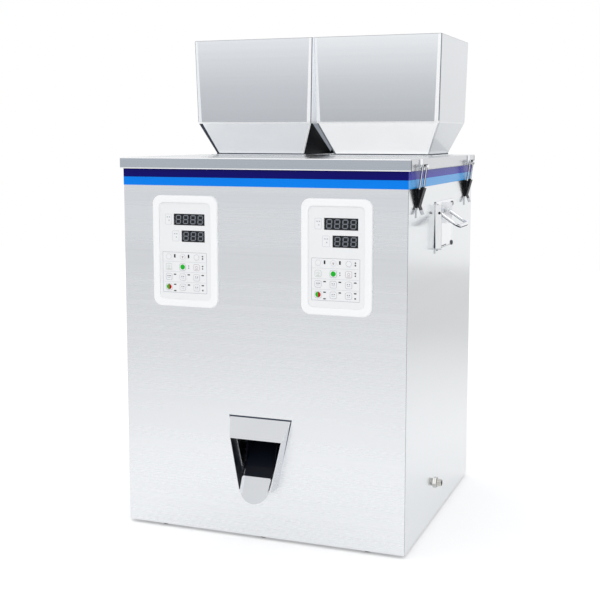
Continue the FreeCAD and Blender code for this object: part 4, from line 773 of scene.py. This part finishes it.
# Lid: a folded tray with an open seam at each corner of its skirt, filled with a dark bar of
# painted shade; the sides take a darker shaded copy and the front skirt's edges painted highlights
lidSettings = {
    "halfX": 219.0, "halfY": 207.0, "top": 547.0, "skirt": 16.0, "sheet": 1.2,
    "seam": 3.4, "edge": 0.4, "line": 1.3,
}


def makeLid(settings):
    halfX, halfY, sheet, seam, line = (
        settings[key] for key in ("halfX", "halfY", "sheet", "seam", "line"))
    foot = settings["top"] - settings["skirt"]
    low, high = foot - 3, settings["top"] - sheet - 0.6
    corners = [(sideX, sideY) for sideX in (-1, 1) for sideY in (-1, 1)]
    knife = bmesh.new()
    for sideX, sideY in corners:
        x, y = sideX * halfX, sideY * (halfY - sheet - seam / 2)
        bar(knife, (x - 2, y - seam / 2, low), (x + 2, y + seam / 2, high))
    cutter = pieceFromBmesh("lidKnife", knife)
    blank = pieceFromBmesh("lidBlank", mergedShape("lid"))
    cut = blank.modifiers.new("seams", "BOOLEAN")
    cut.object = cutter
    cut.solver = "EXACT"
    piece = newPiece("lid_folded", bakedMesh(blank))
    bpy.data.objects.remove(cutter)
    roundEdges(piece, settings["edge"])
    finishPiece(piece, "lid", "lid_steel", ["lid"])
    paintFaces(piece, "lid_side_shaded_copy", lambda c, n: abs(n.x) > 0.7)
    splitAt(piece, foot + line, settings["top"] - line)
    bottom, top = levelOf(foot + line), levelOf(settings["top"] - line)
    paintFaces(piece, "painted_highlight", lambda c, n: n.y < -0.7 and not bottom < c.z < top)
    inner, outer, near = halfX - sheet + 0.1, halfX - 0.25, halfY - sheet + 0.05
    bm = bmesh.new()
    for sideX, sideY in corners:
        bar(bm, (sideX * inner, sideY * (near - seam), low + 3.1),
            (sideX * outer, sideY * near, high))
    addPiece("lid_seam_shade", bm, "lid", "lid_steel", finish="paintedShadowLine")


makeLid(lidSettings)
print("lid folded")

# Handles: a bent round bar with an eye and a pin at each end
handleSettings = {
    "near": -46.95, "far": 13.95,        # the middles of the two arms
    "pivotX": 221.6, "pivotZ": 466.0,
    "rod": 2.75, "reach": 34.0, "bend": 11.0, "droop": 34.0,
    "eye": 3.3, "eyeLength": 4.8,
    "pin": 1.8, "earEnds": (-52.0, 19.0),
}


def makeBail(settings, side, nodeName):
    near, far, reach, bend = (settings[key] for key in ("near", "far", "reach", "bend"))
    droop = math.radians(settings["droop"])
    eye, pin, half = settings["eye"], settings["pin"], settings["eyeLength"] / 2

    def spot(along, y):
        return place(side * (settings["pivotX"] + along * math.cos(droop)), y,
                     settings["pivotZ"] - along * math.sin(droop))

    line = [spot(reach * t, near) for t in (0.0, 0.15, 0.4)]
    for centreY, start in ((near + bend, 180), (far - bend, 270)):
        for step in range(13):
            angle = math.radians(start + 90 * step / 12)
            line.append(spot(reach - bend - bend * math.sin(angle),
                             centreY + bend * math.cos(angle)))
    line += [spot(reach * t, far) for t in (0.4, 0.15, 0.0)]
    bm = bmesh.new()
    tube(bm, line, settings["rod"] * mm)
    for y, earY in ((near, settings["earEnds"][0]), (far, settings["earEnds"][1])):
        turned(bm, spot(0, y - half), spot(0, y + half),
               [(0, eye - 0.4), (0.1, eye - 0.15), (0.4, eye), (2 * half - 0.4, eye),
                (2 * half - 0.1, eye - 0.15), (2 * half, eye - 0.4)])
        length = abs(y - earY)
        turned(bm, spot(0, y), spot(0, earY), [(0, pin), (length - 0.3, pin), (length, pin - 0.3)])
    piece = pieceFromBmesh(nodeName + "_rod", bm, 40)
    finishPiece(piece, nodeName, "polished_steel", [nodeName])
    # Painted shade on the rod's underside; the front ends of the near pins are painted black
    paintFaces(piece, "paintedShadowLine", lambda c, n: n.z < -0.4)
    tip = depthOf(settings["earEnds"][0] + 0.4)
    paintFaces(piece, "printBlack", lambda c, n: c.y < tip and n.y < -0.5)


makeBail(handleSettings, 1, "handle_bail_right")
makeBail(handleSettings, -1, "handle_bail_left")
print("handles bent")

# Control panels: displays, digits, keys and their plain marks
panelSettings = {
    "x": 115.0, "z": 412.5,
    "membraneY": -205.5, "keyY": -206.1, "displayY": -204.5,
    "film": 0.06,                        # thickness of a printed mark
    "keyX": -4.2, "keyZ": -30.2, "pitchX": 22.2, "pitchZ": 14.75, "key": 10.0, "corner": 2.4,
    "keyProfile": ((0.0, 0.0), (0.0, 0.35), (0.12, 0.8), (0.4, 1.0)),   # inset, share of the rise
    "keypadBox": (-36.4, 34.0, 352.0, 411.0),
    "windows": (("long", 45.9, 4), ("short", 21.9, 3)),     # height over z and count of digits
    "windowX": {"long": 6.55, "short": 12.7},
    "digit": (8.6, 13.2, 1.55), "digitPitch": 11.6, "digitLean": 0.06, "digitGap": 0.16,
}
# Marks from the middle of a key or a display plate: tone, x, z, half width, half height,
# corner, and for an outline its line. Those beside a key lie on the membrane.
besideX = 9.4
roundKey = [("printPale", 0, 0, 4.1, 4.1, 4.1, 0.3), ("printBlack", besideX, 0.9, 1.2, 2.5, 0.3)]
roundKeyLines = [("printRose", 0, 0.4, 1.5, 0.5, 0.4), ("printRose", 0, -1.2, 0.6, 1.0, 0.3)]
greyRoundKey = [("printGrey", 0, 0, 4.1, 4.1, 4.1, 0.3),
                ("printBlack", besideX, 1.5, 1.0, 0.85, 0.4),
                ("printBlack", besideX, -1.9, 1.0, 1.1, 0.5)]
greenKey = [("printGrey", 0, 0, 4.9, 4.9, 2.2, 0.35), ("printGreen", 0, 0, 3.7, 3.7, 3.7),
            ("printGrey", besideX, 1.7, 0.9, 0.8, 0.3), ("printGrey", besideX, -1.4, 0.9, 0.9, 0.3)]
roseKey = [("printRose", 0, 0, 4.7, 4.7, 2.0, 0.4), ("printRose", 0, 0.3, 1.9, 1.7, 1.2, 0.45),
           ("printRose", 0, -3.0, 2.6, 0.3, 0.2)]
sageKey = [("printSage", *mark[1:]) for mark in roseKey]
roseKeyMarks = [("printBlack", besideX, 1.9, 1.1, 0.9, 0.3),
                ("printBlack", besideX, -1.6, 0.9, 0.9, 0.3)]
plainKey = [("printGrey", 0, 0, 4.8, 4.8, 2.2, 0.3), ("printBlack", besideX, 3.6, 1.9, 0.8, 0.5)]
halfKey = plainKey + [("printBlack", besideX, -5.6, 1.9, 0.8, 0.5)]
twoLines, threeLines = (
    plainKey + [("printGrey", x, 1.1, 0.8, 0.7, 0.3) for x in shifts]
    + [("printPale", 0, -1.4, 2.4, 0.35, 0.2)] for shifts in ((-1.5, 1.5), (-2.0, 0.2, 2.2)))
lastKey = twoLines + [("printBlack", besideX, -3.4, 1.0, 1.1, 0.4)]
keyMarks = ((roundKey, roundKey + roundKeyLines, greyRoundKey),
            (sageKey, greenKey, roseKey + roseKeyMarks),
            (threeLines, twoLines, twoLines), (halfKey, twoLines, lastKey))
plateMarks = [("printPale", -1.6, 3.2, 1.1, 0.8, 0.4), ("printPale", 1.8, 3.2, 1.1, 0.8, 0.4),
              ("printPale", 1.0, -1.6, 0.8, 1.0, 0.4)]
displayPlates = ((-26.5, 45.9, 5.0), (-15.0, 21.9, 5.4))    # x, z and half width


# A flat mark standing at depth y: filled, or an outline where it has a line
def stamp(bm, x, z, halfX, halfZ, corner, y, thickness, line=0):
    steps = 6 if line else 3
    if corner >= halfX:                  # a full circle
        steps = 8 if line else 10
    depths = (y, y - thickness)
    rings = [standingRing(x, z, halfX, halfZ, corner, depth, steps) for depth in depths]
    if line:
        rings += [standingRing(x, z, halfX - line, halfZ - line, corner - line, depth, steps)
                  for depth in reversed(depths)]
    loft(bm, rings, closed=line > 0, capped=line == 0)


def halfDisc(bm, x, z, radius, side, y, thickness):
    angles = [math.radians(-90 + 180 * step / 12) for step in range(13)]
    spots = ([(0, -radius)] + [(side * (0.01 + radius * math.cos(angle)), radius * math.sin(angle))
                               for angle in angles] + [(0, radius)])
    loft(bm, [[place(x + a, depth, z + b) for a, b in spots] for depth in (y, y - thickness)],
         capped=True)


def digitMesh(settings):
    width, height, stroke = settings["digit"]
    lean, gap, half = settings["digitLean"], settings["digitGap"], stroke / 2
    right, upper = width / 2 - half, height / 4 - half / 2
    spots = [(0, z, "flat") for z in (height / 2 - half, 0, half - height / 2)]
    spots += [(x, z, "tall") for z in (upper, -upper) for x in (-right, right)]
    bm = bmesh.new()
    for x, z, kind in spots:
        length = (width - stroke if kind == "flat" else height / 2 - half - 0.2) / 2 - gap
        shape = [(-length, 0), (-length + half, -half), (length - half, -half), (length, 0),
                 (length - half, half), (-length + half, half)]
        if kind == "tall":
            shape = [(-b, a) for a, b in shape]
        loft(bm, [[Vector((x + a + lean * (z + b), depth, z + b)) * mm for a, b in shape]
                  for depth in (0.0, -settings["film"])], capped=True)
    return meshFromBmesh("digitSeed", bm)


def keyMesh(settings):
    half, corner = settings["key"] / 2, settings["corner"]
    rise = settings["membraneY"] - settings["keyY"]
    bm = bmesh.new()
    loft(bm, [seedRing(half - inset, half - inset, corner - inset, -rise * share)
              for inset, share in settings["keyProfile"]], capped=True)
    mesh = meshFromBmesh("keySeed", bm, 180)
    for face in mesh.polygons:           # only the bent sides are smooth
        face.use_smooth = len(face.vertices) == 4
    return mesh


def makeDigits(settings, side, hand):
    for label, height, count in settings["windows"]:
        centre = place(side * settings["x"] + settings["windowX"][label], settings["displayY"],
                       settings["z"] + height)
        piece = onGrid(f"digits_{label}_{hand}", digitMesh(settings),
                       (settings["digitPitch"] * (count - 1), 0), (count, 1), centre, (0, 0, 0),
                       "digitGrey")
        finishPiece(piece, "case", "display_grey", finish="digitGrey")


def makeMarks(settings, side, hand):
    panelX, panelZ, film = side * settings["x"], settings["z"], settings["film"]
    sheetY, keyY = settings["membraneY"], settings["keyY"]
    inks = {name: bmesh.new() for name in printAndShadeTones}

    def stampAll(marks, x, z, y):
        for tone, shiftX, shiftZ, halfX, halfZ, corner, *line in marks:
            stamp(inks[tone], x + shiftX, z + shiftZ, halfX, halfZ, corner,
                  sheetY if shiftX == besideX else y, film, *line)

    left, right, bottom, top = settings["keypadBox"]
    middle, halfX = panelX + (left + right) / 2, (right - left) / 2
    stamp(inks["printGrey"], middle, (bottom + top) / 2, halfX, (top - bottom) / 2, 1.2, sheetY,
          film, 0.35)
    for column in range(3):
        for row in range(4):
            stampAll(keyMarks[row][column],
                     panelX + settings["keyX"] + (column - 1) * settings["pitchX"],
                     panelZ + settings["keyZ"] + (1.5 - row) * settings["pitchZ"], keyY)
    discX = panelX + settings["keyX"] - settings["pitchX"]
    discZ = panelZ + settings["keyZ"] - 1.5 * settings["pitchZ"]
    halfDisc(inks["printGreen"], discX, discZ, 3.9, -1, keyY, film)
    halfDisc(inks["printRed"], discX, discZ, 3.9, 1, keyY, film)
    for line in (-1, 0, 1):                 # thin rules between the rows of keys
        stamp(inks["printPale"], middle, panelZ + settings["keyZ"] + line * settings["pitchZ"],
              halfX - 1.5, 0.12, 0.05, sheetY, film)
    for x, z, halfPlate in displayPlates:
        stampAll([("printPale", 0, 0, halfPlate, 7.6, 1.5, 0.3)] + plateMarks, panelX + x,
                 panelZ + z, sheetY)
    for name, bm in inks.items():
        if len(bm.verts):
            addPiece(f"marks_{name}_{hand}", bm, "case", "membrane",
                        finish=name)


# The membrane is the frame's own, without its keys, and the keys stand on it as a grid
def makeKeypads(settings):
    bm = mergedShape("keypads")
    limit = depthOf(settings["membraneY"] - 0.05)
    bmesh.ops.delete(bm, geom=[vert for vert in bm.verts if vert.co.y < limit], context="VERTS")
    bmesh.ops.holes_fill(bm, edges=[edge for edge in bm.edges if edge.is_boundary], sides=0)
    addPiece("keypad_membranes", bm, "case", "membrane", ["keypads"])
    for side, hand in ((-1, "left"), (1, "right")):
        centre = place(side * settings["x"] + settings["keyX"], settings["membraneY"],
                       settings["z"] + settings["keyZ"])
        keys = onGrid(f"keys_{hand}", keyMesh(settings),
                      (2 * settings["pitchX"], 3 * settings["pitchZ"]), (3, 4), centre,
                      (90, 0, 0), "membrane")
        finishPiece(keys, "case", "membrane")


makeKeypads(panelSettings)
for side, hand in ((-1, "left"), (1, "right")):
    makeDigits(panelSettings, side, hand)
    makeMarks(panelSettings, side, hand)
print("panels marked")

# Screws, feet and vents repeat on a grid
gridSettings = {
    "handleScrews": {"y": 5.0, "z": 444.0, "size": (95.0, 61.0), "seat": 216.5},
    "rearScrews": {"z": 270.5, "size": (418.0, 405.8), "seat": 203.0},
    "feet": {"z": -4.0, "size": (318.0, 378.0)},
    "vents": {"z": 198.0, "size": (190.0, 96.0), "halfX": 35.0, "halfZ": 2.0, "rim": 1.4},
    "head": 3.8, "headHeight": 2.0, "shank": 2.0, "shankLength": 5.5,
    "cross": (1.9, 0.42, 1.1),           # reach, half width and depth of the recess
    "footProfile": ((0.0, 2.2), (0.9, 2.2), (0.9, 3.4), (0.0, 4.4), (0.0, 6.2), (0.25, 6.5),
                    (1.0, 6.65), (1.15, 6.45), (1.35, 6.45), (1.5, 6.8), (2.2, 7.0),
                    (2.35, 6.8), (2.55, 6.8), (2.7, 7.2), (3.7, 7.45), (4.0, 7.3)),
}


def crossRing(centre, across, up, reach, half, count):
    points = []
    for k in range(count):
        angle = 2 * math.pi * k / count
        fold = (angle + math.pi / 4) % (math.pi / 2) - math.pi / 4
        if abs(math.tan(fold)) <= half / reach:
            far = reach / math.cos(fold)
        else:
            far = half / abs(math.sin(fold))
        points.append(centre + (across * math.cos(angle) + up * math.sin(angle)) * far * mm)
    return points


# A pan head screw along the axis, with its seat at the origin
def screwMesh(settings, axis, sides=32):
    axis = Vector(axis)
    across = axis.orthogonal().normalized()
    up = axis.cross(across)
    head, high, shank, length = (
        settings[key] for key in ("head", "headHeight", "shank", "shankLength"))
    reach, half, depth = settings["cross"]
    profile = [(-length, shank * 0.7), (0.6 - length, shank), (0.01, shank), (0.01, head),
               (high * 0.35, head), (high * 0.62, head * 0.95), (high * 0.85, head * 0.82),
               (high, head * 0.6)]
    rings = [circle(axis * along * mm, across, up, radius * mm, sides)
             for along, radius in profile]
    rings.append(crossRing(axis * high * mm, across, up, reach, half, sides))
    rings.append(crossRing(axis * (high - depth) * mm, across, up, reach * 0.7, half * 0.8,
                           sides))
    bm = bmesh.new()
    loft(bm, rings, capped=True)
    return meshFromBmesh("screwSeed", bm, 180)


def footMesh(profile):
    bm = bmesh.new()
    turned(bm, Vector((0, 0, 0)), Vector((0, 0, mm)), profile, 36)
    return meshFromBmesh("footSeed", bm, 180)


def ventMesh(settings):
    halfX, halfZ, rim = settings["halfX"], settings["halfZ"], settings["rim"]
    bm = bmesh.new()
    loft(bm, [seedRing(halfX + grow, halfZ + grow, halfZ + grow - 0.05, rise, 5)
              for grow, rise in ((0.0, -0.2), (0.0, 0.3), (0.25, 0.5), (rim - 0.3, 0.2),
                                 (rim, -0.2))], closed=True)
    return meshFromBmesh("ventSeed", bm, 180)


# Grids of one seed each, given as onGrid takes them, joined to one piece
def makeFitting(name, grids, slot, replaced=(), finish=None):
    bm = bmesh.new()
    for seed, size, counts, centre, turn in grids:
        part = onGrid(name + "Grid", seed, size, counts, centre, turn, finish or slot)
        bm.from_mesh(part.data)
        bpy.data.objects.remove(part)
    finishPiece(pieceFromBmesh(name, bm, 30), "case", slot, replaced, finish)


def makeFittings(settings):
    plate, rear, feet, vents = (
        settings[key] for key in ("handleScrews", "rearScrews", "feet", "vents"))
    # The handle plate screws take a darker copy of screw steel, as painted shade
    makeFitting("plate_screws", [
        (screwMesh(settings, (side, 0, 0)), plate["size"], (2, 2),
         place(side * plate["seat"], plate["y"], plate["z"]), (90, 0, 90)) for side in (-1, 1)],
        "screw_steel", ["handle_screws"], "screw_shaded_copy")
    makeFitting("back_screws", [
        (screwMesh(settings, (0, 1, 0)), rear["size"], (2, 4), place(0, rear["seat"], rear["z"]),
         (90, 0, 0))], "screw_steel", ["rear_panel_screws"])
    makeFitting("feet_moulded", [
        (footMesh(settings["footProfile"]), feet["size"], (3, 2), place(0, 0, feet["z"]),
         (0, 0, 0))], "rubber_black", ["feet"])
    makeFitting("vent_rims", [
        (ventMesh(vents), vents["size"], (2, 9), place(0, rear["seat"], vents["z"]),
         (90, 0, 0))], "brushed_side")


makeFittings(gridSettings)
print("screws, feet and vents set")

# Pedal socket: hex nut, threaded barrel and bore
socketSettings = {"y": -25.0, "z": 52.0, "face": 215.0, "nut": 8.5, "nutHeight": 3.0,
                  "barrel": 6.0, "root": 5.5, "reach": 10.0, "bore": 4.4, "boreDepth": 7.0,
                  "pitch": 1.0, "collar": 8.5, "inside": 9.0, "thread": 5.2, "wall": 1.2}


def makeSocket(settings):
    y, z, face, nut, high, barrel, root, reach, bore, thread, wall = (
        settings[key] for key in ("y", "z", "face", "nut", "nutHeight", "barrel", "root",
                                  "reach", "bore", "thread", "wall"))
    start, ahead = place(face, y, z), place(face + 1, y, z)
    angles = [math.radians(60 * k) for k in range(6)]
    bm = bmesh.new()
    loft(bm, [[place(face + along, y + nut * share * math.cos(angle),
                     z + nut * share * math.sin(angle)) for angle in angles]
              for along, share in ((0, 0.96), (0.35, 1.0), (high - 0.45, 1.0), (high, 0.93))],
         capped=True)
    profile = [(high - 0.1, barrel)]
    along = high + 0.2
    while along < reach - 0.8:
        profile += [(along, barrel), (along + settings["pitch"] / 2, root)]
        along += settings["pitch"]
    profile += [(reach - 0.6, barrel), (reach, root), (reach, bore),
                (reach - settings["boreDepth"], bore)]
    turned(bm, start, ahead, profile, 32)
    turned(bm, start, ahead, [(-settings["inside"] - wall, thread), (-wall, thread),
                              (0.1, thread)], 24)
    turned(bm, start, ahead, [(-3 * wall, settings["collar"]), (-wall, settings["collar"])], 24)
    piece = addPiece("socket_turned", bm, "case", "socket_metal", ["pedal_socket"],
                     smoothAngle=30)
    # The bore is painted dark as painted shade
    deep = place(face + reach - 0.2, 0, 0).x
    paintFaces(piece, "shadedSteel", lambda c, n: face * mm < c.x < deep
               and math.hypot(c.y - start.y, c.z - start.z) < bore * 1.01 * mm)


makeSocket(socketSettings)
print("socket turned")

# Rear: metal pins in the inlet, plain I and O on the switch
rearSettings = {"inletX": 120.0, "z": 60.0, "back": 203.0, "switchX": 70.0,
                "pins": (-7, 0, 7), "pinHalf": 1.05, "pinRise": (-5, 4.5), "pinDepth": 17.7,
                "pivotDepth": 6.0, "tilt": 8.0, "mark": 5.2, "print": 0.12,
                "rise": 0.8, "dip": 0.8, "half": 9.6}


def makeRear(settings):
    back, high, switchX, film = (settings[key] for key in ("back", "z", "switchX", "print"))
    pins = [place(settings["inletX"] + shift, 0, 0).x for shift in settings["pins"]]
    low, top = (levelOf(high + rise) for rise in settings["pinRise"])
    deep, mouth = depthOf(back - settings["pinDepth"]), depthOf(back)
    paintFaces(bpy.data.objects["power_inlet_soft"], "socket_metal", lambda c, n:
               min(abs(c.x - x) for x in pins) < settings["pinHalf"] * mm
               and low < c.z < top and deep < c.y < mouth)
    bm = bmesh.new()
    bar(bm, (switchX - 0.35, 0, 3.6), (switchX + 0.35, film, 6.8))
    stamp(bm, switchX, -settings["mark"], 1.7, 1.7, 1.7, film, film, 0.6)
    pivot = place(switchX, back - settings["pivotDepth"], high)
    for vert in bm.verts:
        local = vert.co - place(switchX, 0, 0)
        local.y += (settings["pivotDepth"] + settings["dip"]) * mm
        local.y += settings["rise"] * abs(local.z) / settings["half"]
        vert.co = pivot + Matrix.Rotation(math.radians(settings["tilt"]), 3, "X") @ local
    addPiece("switch_marks", bm, "switch_rocker", "black_plastic",
                finish="printWhite")


makeRear(rearSettings)
print("rear fitted")

# Stage: camera, pale floor and soft studio light
stageSettings = {
    "cameraAt": (588.8, -1605.9, 577.5),     # in the case's own millimetres
    "turn": 20.62,                           # degrees round to the right of the front
    "tip": 6.71,                             # degrees down
    "lens": 65.17,
    "shift": -0.06,
    "floorTone": (0.93, 0.74),               # close to the object and far from it
    "floorReach": (0.55, 1.7),
    "cameraLift": (0.23, 0.41),
    "glossyLift": (0.19, 0.07),
    "floorSize": 6.4,
    "skyStops": ((0.0, (0.95, 0.95, 0.95)), (0.396, (0.85, 0.855, 0.865)),
                 (0.439, (0.76, 0.77, 0.79)), (0.478, (0.68, 0.70, 0.73)),
                 (0.502, (0.74, 0.755, 0.78)), (0.53, (0.92, 0.93, 0.945)),
                 (0.7, (0.92, 0.925, 0.93)), (1.0, (0.90, 0.90, 0.905))),
    "sideTone": (0.12, 0.13, 0.16),          # dark flags that only round edges mirror
    "sideFrom": (0.90, 0.96),
    "backTone": (0.99, 0.995, 1.0),
    "backFrom": (0.3, 0.8), "backTo": (0.0, 0.4),
    "softboxes": (("softboxLeft", (-2.5, -0.7, 2.0), (2.0, 2.0), 7),
                  ("softboxRight", (1.2, -2.5, 2.5), (1.9, 1.9), 10)),
}


def makeCamera(settings):
    data = bpy.data.cameras.new("camera")
    data.lens = settings["lens"]
    data.sensor_width = 36.0
    data.shift_y = settings["shift"]
    data.clip_start = 0.05
    data.clip_end = 50.0
    camera = newPiece("camera", data)
    camera.location = place(*settings["cameraAt"])
    camera.rotation_euler = (math.radians(90 - settings["tip"]), 0, math.radians(settings["turn"]))
    bpy.context.scene.camera = camera


def makeWorld(settings):
    world = bpy.data.worlds.new("studio")
    bpy.context.scene.world = world
    world.use_nodes = True
    tree = world.node_tree
    tree.nodes.clear()
    view = separate(tree, addNode(tree, "ShaderNodeTexCoord").outputs["Generated"])
    ramp = addNode(tree, "ShaderNodeValToRGB", {"Fac": spread(tree, view["Z"], 0, 1, -1, 1)})
    stops = settings["skyStops"]
    while len(ramp.color_ramp.elements) < len(stops):
        ramp.color_ramp.elements.new(0.5)
    for element, (position, colour) in zip(ramp.color_ramp.elements, stops):
        element.position = position
        element.color = (*colour, 1)
    behind = maths(tree, "MULTIPLY", spread(tree, view["Y"], 0, 1, *settings["backFrom"]),
                   spread(tree, view["Z"], 1, 0, *settings["backTo"]))
    sky = mixColours(tree, behind, ramp.outputs["Color"], settings["backTone"])
    flag = spread(tree, maths(tree, "ABSOLUTE", view["X"]), 0, 1, *settings["sideFrom"])
    studio = addNode(tree, "ShaderNodeBackground", {
        "Color": mixColours(tree, flag, sky, settings["sideTone"])}).outputs[0]
    plain = addNode(tree, "ShaderNodeBackground", {"Color": (1, 1, 1, 1)}).outputs[0]
    seen = addNode(tree, "ShaderNodeLightPath").outputs["Is Camera Ray"]
    choose = addNode(tree, "ShaderNodeMixShader", {"Fac": seen, 1: studio, 2: plain}).outputs[0]
    addNode(tree, "ShaderNodeOutputWorld", {"Surface": choose})


def makeFloor(settings):
    bpy.ops.mesh.primitive_plane_add(size=settings["floorSize"], location=(0, 0, -0.0002))
    floor = bpy.context.active_object
    floor.name = "studioFloor"
    material, tree, shader = newMaterial("paleFloor")
    points = objectPoints(tree)
    length = addNode(tree, "ShaderNodeVectorMath", {0: points}, operation="LENGTH")
    far = spread(tree, length.outputs["Value"], 0, 1, *settings["floorReach"])
    path = addNode(tree, "ShaderNodeLightPath").outputs
    seen = maths(tree, "MULTIPLY", path["Is Camera Ray"],
                 spread(tree, far, *settings["cameraLift"], 0, 1))
    lift = maths(tree, "MULTIPLY_ADD", path["Is Glossy Ray"],
                 spread(tree, far, *settings["glossyLift"], 0, 1), seen)
    near, distant = settings["floorTone"]
    fill(tree, shader, {
        "Base Color": mixColours(tree, far, (near,) * 3, (distant,) * 3),
        "Roughness": spread(tree, noise(tree, points, 40.0, 4.0, 0.6), 0.75, 0.85),
        "Specular IOR Level": 0.1, "Emission Color": (1, 1, 1, 1), "Emission Strength": lift})
    floor.data.materials.append(material)


def makeSoftbox(name, position, size, power):
    data = bpy.data.lights.new(name, "AREA")
    data.shape = "RECTANGLE"
    data.size, data.size_y = size
    data.energy = power
    lamp = newPiece(name, data)
    lamp.location = position
    aim = (Vector((0, 0, 0.4)) - Vector(position)).to_track_quat("-Z", "Y")
    lamp.rotation_euler = aim.to_euler()


makeCamera(stageSettings)
makeWorld(stageSettings)
makeFloor(stageSettings)
for softbox in stageSettings["softboxes"]:
    makeSoftbox(*softbox)
bpy.context.scene.view_settings.view_transform = "Standard"
print("stage set")
